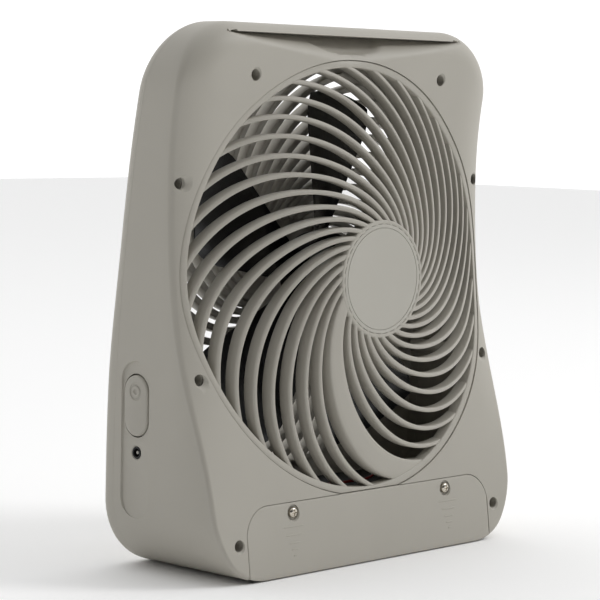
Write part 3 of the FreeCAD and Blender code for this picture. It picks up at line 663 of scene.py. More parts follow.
def domeAt(x, z):
    # front of the bars: flat at the hub, falling to the band
    r = np.hypot(x, z - centreZ)
    share = np.clip((r - swirl["hubRadius"]) / (swirl["rimRadius"] - swirl["hubRadius"]), 0, None)
    safe = np.maximum(r, 1.0)
    rimY = faceAt(x * swirl["rimRadius"] / safe, centreZ + (z - centreZ) * swirl["rimRadius"] / safe, None)
    return swirl["hubFront"] + (rimY + ring["barDrop"] - swirl["hubFront"]) * share ** swirl["domePower"]


def makeGuide(name, surfaceAt, outer):
    # sheet that the bars are dropped on to
    turn = np.linspace(0, 2 * math.pi, 180, endpoint=False)
    verts = []
    radii = np.linspace(20, outer, 40)
    for r in radii:
        x = r * np.cos(turn)
        z = centreZ + r * np.sin(turn)
        verts.append(np.column_stack([x, surfaceAt(x, z), z]))
    mesh = bpy.data.meshes.new(name)
    mesh.from_pydata((np.vstack(verts) * mm).tolist(), [], gridFaces(len(radii), len(turn)))
    guide = bpy.data.objects.new(name, mesh)
    bpy.context.scene.collection.objects.link(guide)
    return guide


def spiralTree():
    # one spiral bar, repeated round the hub and dropped on to a guide surface
    tree = bpy.data.node_groups.new("spiralBars", "GeometryNodeTree")
    face = tree.interface
    face.new_socket("Geometry", in_out="OUTPUT", socket_type="NodeSocketGeometry")
    sizes = ["Pitch", "First Angle", "Turn", "Turn Square", "Turn Cube", "Hub Radius", "Rim Radius", "Width",
             "Rim Width Share", "Depth", "Fillet", "Centre Height", "Facing"]
    sockets = [("Bars", "Int")] + [(name, "Float") for name in sizes]
    sockets += [("Guide", "Object"), ("Finish", "Material")]
    for name, kind in sockets:
        face.new_socket(name, in_out="INPUT", socket_type="NodeSocket" + kind)
    given = addNode(tree, "NodeGroupInput").outputs
    line = addNode(tree, "GeometryNodeCurvePrimitiveLine", {"Start": (0, 0, 0), "End": (1, 0, 0)})
    points = addNode(tree, "GeometryNodeResampleCurve", {"Count": 40}, {"Curve": line.outputs["Curve"]})
    here = addNode(tree, "GeometryNodeInputPosition")
    apart = addNode(tree, "ShaderNodeSeparateXYZ", links={0: here.outputs["Position"]})
    share = apart.outputs["X"]
    cube = addNode(tree, "ShaderNodeMath", links={0: given["Turn Cube"], 1: share, 2: given["Turn Square"]},
                   operation="MULTIPLY_ADD")
    square = addNode(tree, "ShaderNodeMath", links={0: cube.outputs[0], 1: share, 2: given["Turn"]},
                     operation="MULTIPLY_ADD")
    turn = addNode(tree, "ShaderNodeMath", links={0: square.outputs[0], 1: share}, operation="MULTIPLY")
    radius = addNode(tree, "ShaderNodeMapRange",
                     links={"Value": share, "To Min": given["Hub Radius"], "To Max": given["Rim Radius"]})
    across = addNode(tree, "ShaderNodeMath", links={0: turn.outputs[0]}, operation="COSINE")
    up = addNode(tree, "ShaderNodeMath", links={0: turn.outputs[0]}, operation="SINE")
    aside = addNode(tree, "ShaderNodeCombineXYZ", links={"X": across.outputs[0], "Y": up.outputs[0]})
    spot = addNode(tree, "ShaderNodeVectorMath",
                   links={0: aside.outputs[0], "Scale": radius.outputs["Result"]}, operation="SCALE")
    size = addNode(tree, "ShaderNodeMapRange", {"To Min": 1.0},
                   {"Value": share, "To Max": given["Rim Width Share"]})
    sized = addNode(tree, "GeometryNodeSetCurveRadius",
                    links={"Curve": points.outputs["Curve"], "Radius": size.outputs["Result"]})
    bent = addNode(tree, "GeometryNodeSetPosition",
                   links={"Geometry": sized.outputs["Curve"], "Position": spot.outputs[0]})
    level = addNode(tree, "GeometryNodeSetCurveNormal", links={"Curve": bent.outputs["Geometry"]},
                    mode="Z_UP")
    section = addNode(tree, "GeometryNodeCurvePrimitiveQuadrilateral",
                      links={"Width": given["Width"], "Height": given["Depth"]})
    softened = addNode(tree, "GeometryNodeFilletCurve", {"Count": 3},
                       {"Curve": section.outputs["Curve"], "Radius": given["Fillet"]}, mode="POLY")
    half = addNode(tree, "ShaderNodeMath", {1: 0.5}, {0: given["Depth"]}, operation="MULTIPLY")
    lower = addNode(tree, "ShaderNodeCombineXYZ", links={"Y": half.outputs[0]})
    hung = addNode(tree, "GeometryNodeTransform",
                   links={"Geometry": softened.outputs["Curve"], "Translation": lower.outputs[0]})
    bar = addNode(tree, "GeometryNodeCurveToMesh", {"Fill Caps": True},
                  {"Curve": level.outputs["Curve"], "Profile Curve": hung.outputs["Geometry"]})
    seats = addNode(tree, "GeometryNodePoints", links={"Count": given["Bars"]})
    number = addNode(tree, "GeometryNodeInputIndex")
    spin = addNode(tree, "ShaderNodeMath",
                   links={0: number.outputs[0], 1: given["Pitch"], 2: given["First Angle"]},
                   operation="MULTIPLY_ADD")
    spun = addNode(tree, "ShaderNodeCombineXYZ", links={"Z": spin.outputs[0]})
    placed = addNode(tree, "GeometryNodeInstanceOnPoints",
                     links={"Points": seats.outputs[0], "Instance": bar.outputs["Mesh"],
                            "Rotation": spun.outputs[0]})
    solid = addNode(tree, "GeometryNodeRealizeInstances", links={"Geometry": placed.outputs["Instances"]})
    flat = addNode(tree, "ShaderNodeSeparateXYZ", links={0: here.outputs["Position"]})
    high = addNode(tree, "ShaderNodeMath", links={0: flat.outputs["Y"], 1: given["Centre Height"]},
                   operation="ADD")
    away = addNode(tree, "ShaderNodeMath", {1: -0.3}, {0: given["Facing"]}, operation="MULTIPLY")
    eye = addNode(tree, "ShaderNodeCombineXYZ",
                  links={"X": flat.outputs["X"], "Y": away.outputs[0], "Z": high.outputs[0]})
    look = addNode(tree, "ShaderNodeCombineXYZ", links={"Y": given["Facing"]})
    guide = addNode(tree, "GeometryNodeObjectInfo", links={"Object": given["Guide"]})
    ray = addNode(tree, "GeometryNodeRaycast", {"Ray Length": 1.0},
                  {"Target Geometry": guide.outputs["Geometry"], "Source Position": eye.outputs[0],
                   "Ray Direction": look.outputs[0]})
    hit = addNode(tree, "ShaderNodeSeparateXYZ", links={0: ray.outputs["Hit Position"]})
    deep = addNode(tree, "ShaderNodeMath", links={0: flat.outputs["Z"], 1: given["Facing"]},
                   operation="MULTIPLY")
    back = addNode(tree, "ShaderNodeMath", links={0: hit.outputs["Y"], 1: deep.outputs[0]},
                   operation="SUBTRACT")
    dropped = addNode(tree, "ShaderNodeCombineXYZ",
                      links={"X": flat.outputs["X"], "Y": back.outputs[0], "Z": high.outputs[0]})
    draped = addNode(tree, "GeometryNodeSetPosition",
                     links={"Geometry": solid.outputs["Geometry"], "Position": dropped.outputs[0]})
    whole = addNode(tree, "GeometryNodeRealizeInstances", links={"Geometry": draped.outputs["Geometry"]})
    coated = addNode(tree, "GeometryNodeSetMaterial",
                     links={"Geometry": whole.outputs["Geometry"], "Material": given["Finish"]})
    addNode(tree, "NodeGroupOutput", links={"Geometry": coated.outputs["Geometry"]})
    return tree


def runTree(name, tree, values, points=((0, 0, 0),)):
    # a throwaway object carries the tree, and its result comes back as a plain mesh object
    mesh = bpy.data.meshes.new(name)
    mesh.from_pydata([tuple(p) for p in points], [], [])
    obj = bpy.data.objects.new(name, mesh)
    bpy.context.scene.collection.objects.link(obj)
    modifier = obj.modifiers.new("tree", "NODES")
    modifier.node_group = tree
    for item in tree.interface.items_tree:
        if item.item_type == "SOCKET" and item.in_out == "INPUT" and item.name in values:
            modifier[item.identifier] = values[item.name]
    bpy.context.view_layer.update()
    return applyModifiers(obj)


def spiralBars(tree, guide, bars, first, way, rim, hub, depth, facing, wider=1.0):
    a, b, c = swirl["turn"]
    values = {"Bars": bars, "Pitch": way * math.radians(360 / swirl["count"]),
              "First Angle": math.radians(first), "Turn": way * math.radians(a),
              "Turn Square": way * math.radians(b), "Turn Cube": way * math.radians(c),
              "Hub Radius": hub * mm, "Rim Radius": rim * mm, "Width": swirl["widthHub"] * wider * mm,
              "Rim Width Share": swirl["widthRim"] / swirl["widthHub"],
              "Depth": depth * mm, "Fillet": swirl["fillet"] * mm, "Centre Height": centreZ * mm,
              "Facing": float(facing), "Guide": guide, "Finish": greyAbs}
    obj = runTree("bars", tree, values)
    shape = shapeOf(obj)
    bpy.data.objects.remove(obj)
    return shape


def wideBar():
    # the two first bars and the closed gap between them, which carries the motor's leads
    pitch = 2 * math.pi / swirl["count"]
    a, b, c = swirl["turn"]
    span = swirl["rimRadius"] - swirl["hubRadius"]
    rows = []
    steps = 48
    section = [(-1.0, 0.9), (-0.93, 0.25), (-0.8, 0.0), (-0.4, 0.0), (0.0, 0.0), (0.4, 0.0), (0.8, 0.0),
               (0.93, 0.25), (1.0, 0.9)]
    for i in range(steps + 1):
        share = i / steps
        r = swirl["hubRadius"] + span * share
        slope = math.radians(a + 2 * b * share + 3 * c * share ** 2)
        lean = math.atan(r * slope / span)
        width = swirl["widthHub"] + (swirl["widthRim"] - swirl["widthHub"]) * share
        half = pitch / 2 + width / 2 / (r * math.cos(lean))
        middle = float(swirlAngle(share)) + pitch / 2
        row = []
        for across, down in section:
            angle = middle + half * across
            x = r * math.cos(angle)
            z = centreZ + r * math.sin(angle)
            row.append((x, float(domeAt(x, z)) + down, z))
        for across in (1.0, -1.0):
            angle = middle + half * across
            x = r * math.cos(angle)
            z = centreZ + r * math.sin(angle)
            row.append((x, float(domeAt(x, z)) + swirl["depth"] * 1.1, z))
        rows.append(row)
    count = len(rows[0])
    faces = gridFaces(len(rows), count)
    faces.append(tuple(range(count)))
    faces.append(tuple(range(count * steps, count * (steps + 1))))
    return np.array(rows), faces


def rimBand(surfaceAt, outer, inner, section, facing, line=None):
    # ring that follows a surface; section is (share from inner to outer, depth) points
    turn = np.linspace(0, 2 * math.pi, 360, endpoint=False)
    limit = np.full(len(turn), outer)
    if line is not None:
        down = np.minimum(np.sin(turn), -1e-3)
        limit = np.where(down < -0.5, np.minimum(outer, (line - centreZ) / down), outer)
    verts = []
    for share, deep in section:
        r = inner + (limit - inner) * share
        x = r * np.cos(turn)
        z = centreZ + r * np.sin(turn)
        verts.append(np.column_stack([x, surfaceAt(x, z) + facing * deep, z]))
    return np.vstack(verts), gridFaces(len(section), len(turn), closeRows=True)


def makeFrontGrille(tree):
    guide = makeGuide("domeGuide", domeAt, swirl["rimRadius"] + 6)
    bars = spiralBars(tree, guide, swirl["count"] - 2, swirl["first"] + 720 / swirl["count"], 1,
                      swirl["rimRadius"], swirl["hubRadius"] - 0.5, swirl["depth"], 1)
    bpy.data.objects.remove(guide)
    drop = ring["drop"]
    band = rimBand(faceAt, ring["bandOuter"], ring["bandInner"],
                   [(0.0, drop + 8), (0.0, drop + 0.7), (0.06, drop + 0.2), (0.16, drop), (0.5, drop),
                    (0.86, drop), (0.95, drop + 0.2), (1.0, drop + 0.6), (1.0, drop + 8)],
                   1, ring["doorLine"])
    front = swirl["hubFront"]
    # rim round the cap, then the plate behind it with the tube that holds the motor
    rimLine = [(36.55, 10), (36.55, 0.6), (36.8, 0.2), (37.3, 0), (38.4, 0.05), (39.0, 0.4), (39.3, 1.2),
               (39.3, 10), (36.55, 10)]
    plateLine = [(4.6, 5.2), (36.6, 5.2), (36.6, 10.4), (24.0, 10.4), (24.0, 33), (21.4, 33), (21.4, 10.4),
                 (4.6, 10.4), (4.6, 5.2)]
    hubRing = lathe([(r, front + deep) for r, deep in rimLine], 144)
    plate = lathe([(r, front + deep) for r, deep in plateLine], 96)
    grille = makeObject("frontGrille", [bars, wideBar(), band, hubRing, plate], greyAbs, 40)
    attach(grille, "housing")
    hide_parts("front_grille")
    print("front grille made")


def makeRearGrille(tree):
    def backFlat(_x, z):
        return backProfile(z) - rearRing["drop"]
    guide = makeGuide("backGuide", backFlat, rearRing["radius"] + 5)
    bars = spiralBars(tree, guide, swirl["count"], 180 - swirl["first"], -1, rearRing["bandInner"] + 1.5,
                      swirl["hubRadius"], swirl["rearDepth"], -1, swirl["rearWidth"])
    bpy.data.objects.remove(guide)
    band = rimBand(backFlat, rearRing["bandOuter"], rearRing["bandInner"],
                   [(0.0, 8), (0.0, 0.5), (0.15, 0.0), (0.85, 0.0), (1.0, 0.5), (1.0, 8)], -1)
    turn = np.linspace(0, 2 * math.pi, 120, endpoint=False)
    hubRows = []
    for r, deep in [(0.5, 8.5), (38.5, 8.5), (38.9, 7.9), (38.9, 0.8), (38.3, 0.2), (37.4, 0.0),
                    (30.0, 0.0), (29.5, 0.5), (28.5, 0.5), (28.0, 0.0), (0.5, 0.0)]:
        x = r * np.cos(turn)
        z = centreZ + r * np.sin(turn)
        hubRows.append(np.column_stack([x, backFlat(x, z) - deep, z]))
    hubDisc = (np.vstack(hubRows), gridFaces(len(hubRows), len(turn), closeRows=True))
    grille = makeObject("rearGrille", [bars, band, hubDisc], greyAbs, 40)
    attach(grille, "housing")
    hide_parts("rear_grille")
    print("rear grille made")


barTree = spiralTree()
makeFrontGrille(barTree)
makeRearGrille(barTree)

hub = {"groove": 33.9, "grooveHalf": 0.28, "grooveDepth": 0.45, "edge": 0.6, "thick": 2.5, "crown": 0.35}


def makeHubCap():
    front = hubLow.y
    radius = hubHigh.x
    edge = hub["edge"]
    groove = hub["groove"]
    half = hub["grooveHalf"]
    profile = [(0.3, front + hub["thick"]), (radius, front + hub["thick"]), (radius, front + edge)]
    for turn in (30, 60, 90):
        a = math.radians(turn)
        profile.append((radius - edge + edge * math.cos(a), front + edge - edge * math.sin(a)))
    profile += [(groove + half, front), (groove + half * 0.5, front + hub["grooveDepth"]),
                (groove - half * 0.5, front + hub["grooveDepth"]), (groove - half, front),
                (groove - 4, front + 0.06), (20, front + 0.2), (8, front + hub["crown"] * 0.9),
                (0.3, front + hub["crown"])]
    skirt = lathe([(30.6, front + 2.4), (32.2, front + 2.4), (32.2, front + 4.6), (30.6, front + 4.6),
                   (30.6, front + 2.4)], 96)
    cap = makeObject("hubCap", [lathe(profile, 160), skirt], hubAbs, 50)
    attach(cap, "housing")
    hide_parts("hub_cap")
    print("hub cap made")


makeHubCap()

ribs = {"lines": [(32.0, 21.0), (26.6, 16.0), (21.5, 11.0), (17.4, 7.0), (13.4, 3.2)], "x": 76.0,
        "high": 1.1, "proud": 0.35}


def makeDoorPlate():
    half = doorHigh.x
    top = doorHigh.z
    radius = door["corner"]
    flatHalf = half - radius
    bend = np.radians(np.linspace(90, 4, 22))
    right = np.concatenate([np.linspace(0, flatHalf, 40)[:-1], flatHalf + radius * np.cos(bend), [half]])
    x = np.concatenate([-right[:0:-1], right])
    over = np.clip(np.abs(x) - flatHalf, 0, radius)
    crown = top - radius + np.sqrt(np.maximum(radius ** 2 - over ** 2, 0))
    past = np.clip(np.abs(x) - (casing["halfWidth"] - casing["corner"]), 0, casing["corner"])
    low = doorLow.z + casing["corner"] - np.sqrt(casing["corner"] ** 2 - past ** 2)
    edge = door["edge"]
    fromTop = [0.0, 0.1, 0.35, edge, 2.0, 4.0]
    shares = np.linspace(0, 1, 18)
    levels = [crown - step for step in fromTop]
    for share in shares[1:-1]:
        levels.append((crown - fromTop[-1]) * (1 - share) + (low + 1.0) * share)
    levels += [low + 0.7, low + 0.3, low]
    verts = []
    inner = []
    for z in levels:
        distance = np.minimum(np.minimum(half - np.abs(x), crown - z), z - low)
        y = faceAt(x, z) + roundOff(np.maximum(distance, 0), edge)
        verts.append(np.column_stack([x, y, z]))
        inner.append(np.column_stack([x, faceAt(x, z) + door["wall"], z]))
    rows = len(levels)
    columns = len(x)
    both = np.vstack(verts + inner)
    faces = gridFaces(rows, columns, closeColumns=False)
    faces += gridFaces(rows, columns, closeColumns=False, start=rows * columns)
    offset = rows * columns
    for j in range(columns - 1):
        faces.append((j, j + 1, offset + j + 1, offset + j))
        a = (rows - 1) * columns + j
        faces.append((a, a + 1, offset + a + 1, offset + a))
    for i in range(rows - 1):
        for j in (0, columns - 1):
            a = i * columns + j
            faces.append((a, a + columns, offset + a + columns, offset + a))
    return both, faces


def makeBatteryDoor():
    plate = makeObject("batteryDoor", [makeDoorPlate()], greyAbs)
    bosses = []
    cups = []
    for side in (-1, 1):
        x = side * door["screwX"]
        z = door["screwZ"]
        floor = door["cupFloor"]
        r = door["cupRadius"]
        bore = door["screwBore"]
        boss = door["boss"]
        bosses.append(lathe([(bore, floor), (boss, floor - 0.6), (boss, floor + 3.2), (bore, floor + 3.2),
                             (bore, floor)], 48, x, z))
        cups.append(lathe([(0.01, floor - 12), (r + 0.5, floor - 12), (r + 0.5, -49.3), (r, -48.8),
                           (r, floor), (bore, floor), (bore, floor + 9), (0.01, floor + 9)], 48, x, z))
    cutAway(plate, cups)
    lines = []
    for side in (-1, 1):
        for z, width in ribs["lines"]:
            lines.append(raisedLine(side * ribs["x"], z, width))
    whole = makeObject("batteryDoorWhole", [shapeOf(plate)] + bosses + lines, greyAbs, 35)
    bpy.data.objects.remove(plate)
    whole.name = "batteryDoor"
    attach(whole, "door")
    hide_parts("battery_door")
    print("battery door made")


def raisedLine(x, z, width):
    # low rounded rib on the door's face
    half = width / 2
    rise = ribs["high"] / 2
    along = np.linspace(-half, half, 9)
    rows = []
    for u in along:
        end = max(0.15, math.sqrt(max(0.0, 1 - max(0.0, (abs(u) - half + rise) / rise) ** 2)))
        ringPoints = []
        for turn in np.radians([0, 45, 90, 135, 180, 270]):
            dz = rise * math.cos(turn) * end
            up = ribs["proud"] * max(0.0, math.sin(turn)) * end - 0.8 * (turn > 3.2)
            ringPoints.append((x + u, float(faceAt(x + u, z + dz)) + 0.02 - up, z + dz))
        rows.append(ringPoints)
    faces = gridFaces(len(rows), 6)
    faces.append(tuple(range(6)))
    faces.append(tuple(range(6 * (len(rows) - 1), 6 * len(rows))))
    return np.array(rows), faces


makeBatteryDoor()

doorScrew = {"radius": 3.4, "head": 2.8, "slot": 0.5, "slotHalf": 2.1, "slotDeep": 1.1, "shank": 1.45}


def makeDoorScrews():
    low, high = boxMm("door_screws")
    shapes = []
    front = low.y
    r = doorScrew["radius"]
    for side in (-1, 1):
        x = side * door["screwX"]
        z = door["screwZ"]
        under = front + doorScrew["head"]
        shank = doorScrew["shank"]
        profile = [(0.05, front), (1.6, front + 0.06), (2.5, front + 0.32), (3.1, front + 0.8),
                   (r, front + 1.5), (r, under - 0.2), (r - 0.2, under), (shank, under),
                   (shank, high.y - 1.4), (0.4, high.y)]
        shapes.append(lathe(profile, 64, x, z))
    screws = makeObject("doorScrews", shapes, nickelPlate, 40)
    cuts = []
    slot = doorScrew["slot"]
    slotHalf = doorScrew["slotHalf"]
    for side in (-1, 1):
        for wide, tall in ((slotHalf, slot), (slot, slotHalf)):
            x = side * door["screwX"]
            z = door["screwZ"]
            cross = [(x - wide, z - tall), (x + wide, z - tall), (x + wide, z + tall), (x - wide, z + tall)]
            cuts.append(prism(cross, front - 2, front + doorScrew["slotDeep"]))
    cutAway(screws, cuts[0::2], 40)
    cutAway(screws, cuts[1::2], 40)
    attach(screws, "door")
    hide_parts("door_screws")
    print("door screws made")


def screwTree():
    # one screw set on every point of the carrier
    tree = bpy.data.node_groups.new("screwsOnPoints", "GeometryNodeTree")
    face = tree.interface
    face.new_socket("Geometry", in_out="OUTPUT", socket_type="NodeSocketGeometry")
    for name, kind in [("Geometry", "Geometry"), ("Screw", "Object"), ("Most Turn", "Float"), ("Seed", "Int"),
                       ("Finish", "Material")]:
        face.new_socket(name, in_out="INPUT", socket_type="NodeSocket" + kind)
    given = addNode(tree, "NodeGroupInput").outputs
    screw = addNode(tree, "GeometryNodeObjectInfo", links={"Object": given["Screw"]})
    turn = addNode(tree, "FunctionNodeRandomValue", links={3: given["Most Turn"], "Seed": given["Seed"]},
                   data_type="FLOAT")
    spun = addNode(tree, "ShaderNodeCombineXYZ", links={"Y": turn.outputs[1]})
    placed = addNode(tree, "GeometryNodeInstanceOnPoints",
                     links={"Points": given["Geometry"], "Instance": screw.outputs["Geometry"],
                            "Rotation": spun.outputs[0]})
    whole = addNode(tree, "GeometryNodeRealizeInstances", links={"Geometry": placed.outputs["Instances"]})
    coated = addNode(tree, "GeometryNodeSetMaterial",
                     links={"Geometry": whole.outputs["Geometry"], "Material": given["Finish"]})
    addNode(tree, "NodeGroupOutput", links={"Geometry": coated.outputs["Geometry"]})
    return tree


caseScrew = {"headRadius": 2.75, "head": 2.0, "shank": 1.42, "length": 11.0, "recess": 1.2, "slot": 0.35,
             "slotHalf": 1.6}


def makeHousingScrews():
    r = caseScrew["headRadius"]
    head = caseScrew["head"]
    profile = [(0.05, -head), (1.3, -head + 0.06), (2.1, -head + 0.35), (r, -head * 0.45), (r, -0.1),
               (r - 0.15, 0.0), (caseScrew["shank"], 0.0), (caseScrew["shank"], caseScrew["length"] - 1.5),
               (0.3, caseScrew["length"])]
    model = makeObject("screwModel", [lathe(profile, 32, 0, 0)], zincPlate, 40)
    w = caseScrew["slot"]
    h = caseScrew["slotHalf"]
    bar = [(-h, -w), (h, -w), (h, w), (-h, w)]
    upright = [(-w, -h), (w, -h), (w, h), (-w, h)]
    cutAway(model, [prism(bar, -head - 1, -head + caseScrew["recess"])], 40)
    cutAway(model, [prism(upright, -head - 1, -head + caseScrew["recess"])], 40)
    seats = []
    for x, z in screwHoles["places"]:
        for side in (-1, 1):
            seats.append((side * x * mm, screwSeat(z) * mm, z * mm))
    values = {"Screw": model, "Most Turn": math.pi, "Seed": 4, "Finish": zincPlate}
    screws = runTree("housingScrews", screwTree(), values, seats)
    bpy.data.objects.remove(model)
    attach(screws, "housing")
    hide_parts("housing_screws")
    print("housing screws made")


makeDoorScrews()
makeHousingScrews()


def makeRocker():
    low, high = boxMm("rocker_cap")
    y0 = sidePanel["y"]
    face = low.x
    half = rocker["half"]
    rows = []
    edge = rocker["edge"]
    steps = 26
    for inset, deep in [(0.0, 4.4), (0.0, edge), (0.1, 0.85), (0.4, 0.4), (0.85, 0.13), (edge, 0.0)]:
        rows.append((inset, deep))
    for inset in (2.6, 4.0, 5.6, 7.2, 8.8, 10.2, 11.0):
        rows.append((inset, 0.0))
    verts = []
    markZ = (low.z + high.z) / 2 + rocker["markUp"]
    for inset, deep in rows:
        outline = oblong(y0, low.z + inset, high.z - inset, half - inset, steps)
        y = outline[:, 0]
        z = outline[:, 1]
        x = face + deep + crownOf(y - y0, half)
        verts.append(np.column_stack([x, y, z]))
    count = 2 * steps
    faces = gridFaces(len(rows), count)
    faces.append(tuple(range(count)))
    last = (len(rows) - 1) * count
    faces.append(tuple(range(last, last + count)))
    cap = makeObject("rockerCap", [(np.vstack(verts), faces)], rockerAbs, 40)
    deep = face + rocker["markDepth"] + 0.2
    within = rocker["markIn"]
    about = rocker["markOut"]
    dip = rocker["dimple"]
    ringCut = lathe([(within - 0.6, face - 2), (about + 0.6, face - 2), (about, face), (about - 0.7, deep),
                     (within + 0.7, deep), (within, face), (within - 0.6, face - 2)], 48, y0, markZ, "X")
    dimple = lathe([(0.01, face - 2), (dip + 0.4, face - 2), (dip, face), (dip - 0.7, deep),
                    (0.01, deep + 0.1)], 40, y0, markZ, "X")
    cutAway(cap, [ringCut], 40)
    cutAway(cap, [dimple], 40)
    pin = lathe([(0.2, y0 - 14.2), (1.0, y0 - 14.2), (1.0, y0 + 14.2), (0.2, y0 + 14.2)], 24, -144.0,
                (low.z + high.z) / 2)
    whole = makeObject("rockerCapWhole", [shapeOf(cap), pin], rockerAbs, 40)
    bpy.data.objects.remove(cap)
    whole.name = "rockerCap"
    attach(whole, "rocker")
    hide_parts("rocker_cap")
    print("rocker made")


def crownOf(offset, half):
    # the rocker's face is a shallow barrel
    return rocker["crown"] * 0.35 * (offset / half) ** 2


def makeJack():
    low, high = boxMm("jack_body")
    y0 = sidePanel["y"]
    z0 = sidePanel["jackZ"]
    face = low.x
    barrelLine = [(2.8, 12), (2.8, 0.35), (3.1, 0.05), (3.6, 0), (3.9, 0.3), (3.9, 3.3), (3.9, 12), (2.8, 12)]
    barrel = lathe([(r, face + deep) for r, deep in barrelLine], 56, y0, z0, "X")
    block = prism([(y0 - 5, z0 - 4.5), (y0 + 5, z0 - 4.5), (y0 + 5, z0 + 4.5), (y0 - 5, z0 + 4.5)],
                  face + 2.4, high.x, "X")
    body = makeObject("jackBody", [block], blackNylon, 40)
    bore = lathe([(0.01, face - 3), (3.5, face - 3), (3.5, face + 14), (0.01, face + 14)], 48, y0, z0, "X")
    cutAway(body, [bore], 40)
    whole = makeObject("jackBodyWhole", [shapeOf(body), barrel], blackNylon, 40)
    bpy.data.objects.remove(body)
    whole.name = "jackBody"
    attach(whole, "housing")
    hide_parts("jack_body")
    print("jack made")


makeRocker()
makeJack()


def makeFeet():
    shapes = []
    r = feet["radius"]
    for x, y in feet["places"]:
        for side in (-1, 1):
            profile = [(0.3, 0.0), (r - 2.6, 0.0), (r - 2.4, 0.12), (r - 1.9, 0.12), (r - 1.7, 0.0),
                       (r - 0.4, 0.0), (r - 0.12, 0.12), (r, 0.4), (r, feet["deep"]), (0.3, feet["deep"])]
            shapes.append(lathe(profile, 56, side * x, y, "Z"))
    pads = makeObject("rubberFeet", shapes, greyRubber, 40)
    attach(pads, "housing")
    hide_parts("rubber_feet")


makeFeet()

rotor = {"blades": 5, "radius": rotorHigh.x - 1.0, "cup": 28.0, "cupIn": 24.6, "front": -7.0, "back": 13.0,
         "bore": 1.65, "collar": 6.0, "thick": 2.0, "rootHalf": 14.0, "tipHalf": 44.0, "sweep": 18.0,
         "bow": 0.35}


def bladeShape(number):
    # grid over both faces of one blade, radius by chord, with a thin rounded edge
    top = []
    bottom = []
    radii = np.linspace(rotor["cup"] - 2.5, rotor["radius"], 22)
    chord = np.linspace(-1, 1, 19)
    start = 2 * math.pi / rotor["blades"] * number + math.pi / 2
    for r in radii:
        share = max(0.0, (r - rotor["cup"]) / (rotor["radius"] - rotor["cup"]))
        half = rotor["rootHalf"] + (rotor["tipHalf"] - rotor["rootHalf"]) * share
        tip = 1 - 0.16 * max(0.0, (share - 0.8) / 0.2) ** 2
        upRow = []
        downRow = []
        for u in chord:
            v = u * tip
            angle = start + (half * v + rotor["sweep"] * share) / r
            middle = (rotor["front"] + rotor["back"]) / 2
            reach = (rotor["back"] - rotor["front"] - rotor["thick"]) / 2
            y = middle + reach * (v + rotor["bow"] * (1 - v * v)) * 0.98
            edge = math.sqrt(max(0.02, 1 - abs(u) ** 6))
            thin = rotor["thick"] / 2 * edge * (1 - 0.5 * max(0.0, (share - 0.9) / 0.1) ** 2)
            x = -r * math.cos(angle)
            z = centreZ + r * math.sin(angle)
            upRow.append((x, y - thin, z))
            downRow.append((x, y + thin, z))
        top.append(upRow)
        bottom.append(downRow[::-1])
    rows = [a + b for a, b in zip(top, bottom)]
    count = len(rows[0])
    faces = gridFaces(len(rows), count)
    faces.append(tuple(range(count)))
    faces.append(tuple(range(count * (len(rows) - 1), count * len(rows))))
    return np.array(rows), faces


def makeFan():
    r = rotor["cup"]
    inner = rotor["cupIn"]
    bore = rotor["bore"]
    collar = rotor["collar"]
    cup = lathe([(inner, -8.0), (r - 0.6, -8.0), (r, -7.4), (r, 12.5), (r - 0.7, 14.3), (r - 2.5, 15.0),
                 (collar, 15.0), (collar, 18.0), (bore, 18.0), (bore, 9.2), (collar, 9.2), (collar, 12.4),
                 (inner - 0.6, 12.4), (inner, 11.8), (inner, -8.0)], 96)
    fan = makeObject("fanBlade", [cup] + [bladeShape(i) for i in range(rotor["blades"])], blackPp, 40)
    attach(fan, "rotor")
    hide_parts("fan_blade")
    print("fan made")


makeFan()

# finishes of the carried-over pieces
nodeFinish = {
    "door_screw_retainers": blackNylon, "battery_tray": blackNylon, "motor_end_bell": blackNylon,
    "switch_body": blackNylon, "battery_cells": cellSleeve, "battery_springs": springNickel,
    "contact_plates": springNickel, "motor_can": drawnSteel, "motor_screws": zincPlate,
    "motor_magnets": ferrite, "armature_core": lamination, "armature_windings": copper,
    "commutator": copper, "motor_brushes": carbon, "motor_shaft": groundSteel,
    "blade_retainer": groundSteel, "front_bushing": bronze, "rear_bushing": bronze,
    "motor_isolator": blackRubber, "switch_terminals": brass, "jack_pin": zincPlate,
    "jack_board": boardGreen, "speed_resistor": ceramic, "lead_red": redPvc, "lead_black": blackPvc,
}
for node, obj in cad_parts.items():
    if node in nodeFinish:
        if not obj.material_slots:
            obj.data.materials.append(nodeFinish[node])
        for place in obj.material_slots:
            place.material = nodeFinish[node]

studio = {"floorHalf": 6.0, "floorColour": "#FFFFFF", "dim": 0.05, "bright": 1.12, "dimAt": -0.75,
          "brightAt": 0.62,
          "lift": 0.5, "key": 24.5, "keySize": 0.8, "keyPlace": (1.75, -1.6, 2.2), "aim": (0.0, 0.0, 0.18)}


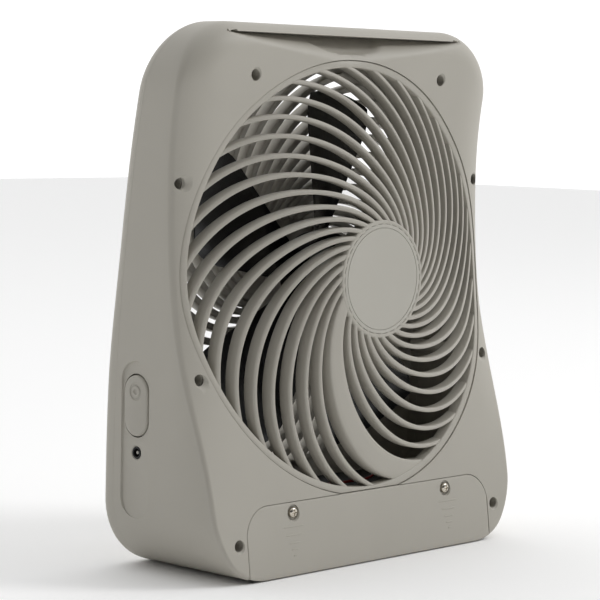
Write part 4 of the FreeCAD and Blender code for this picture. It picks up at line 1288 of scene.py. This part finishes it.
def makeStudio():
    size = studio["floorHalf"]
    mesh = bpy.data.meshes.new("floor")
    corners = [(-size, -size, 0), (size, -size, 0), (size, size, 0), (-size, size, 0)]
    mesh.from_pydata(corners, [], [(0, 1, 2, 3)])
    floor = bpy.data.objects.new("floor", mesh)
    bpy.context.scene.collection.objects.link(floor)
    paper = bpy.data.materials.new("palePaper")
    paper.use_nodes = True
    skin = paper.node_tree.nodes["Principled BSDF"]
    skin.inputs["Base Color"].default_value = linear(studio["floorColour"])
    skin.inputs["Roughness"].default_value = 0.9
    mesh.materials.append(paper)
    # the room is white behind the object and falls off towards its left and front
    world = bpy.data.worlds.new("softWhite")
    world.use_nodes = True
    tree = world.node_tree
    tree.nodes.clear()
    look = addNode(tree, "ShaderNodeTexCoord")
    azimuth = math.radians(camera["azimuth"])
    ahead = (-math.sin(azimuth), math.cos(azimuth), studio["lift"])
    facing = addNode(tree, "ShaderNodeVectorMath", {1: ahead}, {0: look.outputs["Generated"]},
                     operation="DOT_PRODUCT")
    level = addNode(tree, "ShaderNodeMapRange",
                    {"From Min": studio["dimAt"], "From Max": studio["brightAt"],
                     "To Min": studio["dim"], "To Max": studio["bright"]},
                    {"Value": facing.outputs["Value"]}, interpolation_type="SMOOTHSTEP")
    sky = addNode(tree, "ShaderNodeBackground", {"Color": (1, 1, 1, 1)},
                  {"Strength": level.outputs["Result"]})
    addNode(tree, "ShaderNodeOutputWorld", links={"Surface": sky.outputs["Background"]})
    bpy.context.scene.world = world
    bpy.context.scene.view_settings.view_transform = "Standard"


def addLight(name, power, size, place, aim):
    lamp = bpy.data.lights.new(name, "AREA")
    lamp.energy = power
    lamp.size = size
    obj = bpy.data.objects.new(name, lamp)
    obj.location = place
    obj.rotation_euler = (Vector(aim) - Vector(place)).to_track_quat("-Z", "Y").to_euler()
    bpy.context.scene.collection.objects.link(obj)


camera = {"target": (0.0, -0.016, 0.1893), "azimuth": -46.66, "elevation": 4.17, "roll": 1.07,
          "distance": 1.564, "lens": 139.13, "sensor": 36.0, "shiftX": -0.067, "shiftY": -0.0413}


def makeCamera():
    data = bpy.data.cameras.new("camera")
    data.lens = camera["lens"]
    data.sensor_width = camera["sensor"]
    data.shift_x = camera["shiftX"]
    data.shift_y = camera["shiftY"]
    data.clip_end = 50
    azimuth = math.radians(camera["azimuth"])
    elevation = math.radians(camera["elevation"])
    roll = math.radians(camera["roll"])
    back = Vector((math.sin(azimuth) * math.cos(elevation), -math.cos(azimuth) * math.cos(elevation),
                   math.sin(elevation)))
    right = (-back).cross(Vector((0, 0, 1))).normalized()
    up = right.cross(-back)
    turned = right * math.cos(roll) + up * math.sin(roll)
    raised = up * math.cos(roll) - right * math.sin(roll)
    obj = bpy.data.objects.new("camera", data)
    place = Vector(camera["target"]) + back * camera["distance"]
    axes = Matrix((turned, raised, back)).transposed().to_4x4()
    obj.matrix_world = Matrix.Translation(place) @ axes
    bpy.context.scene.collection.objects.link(obj)
    bpy.context.scene.camera = obj


makeStudio()
addLight("keyLight", studio["key"], studio["keySize"], studio["keyPlace"], studio["aim"])
makeCamera()
print("studio made")
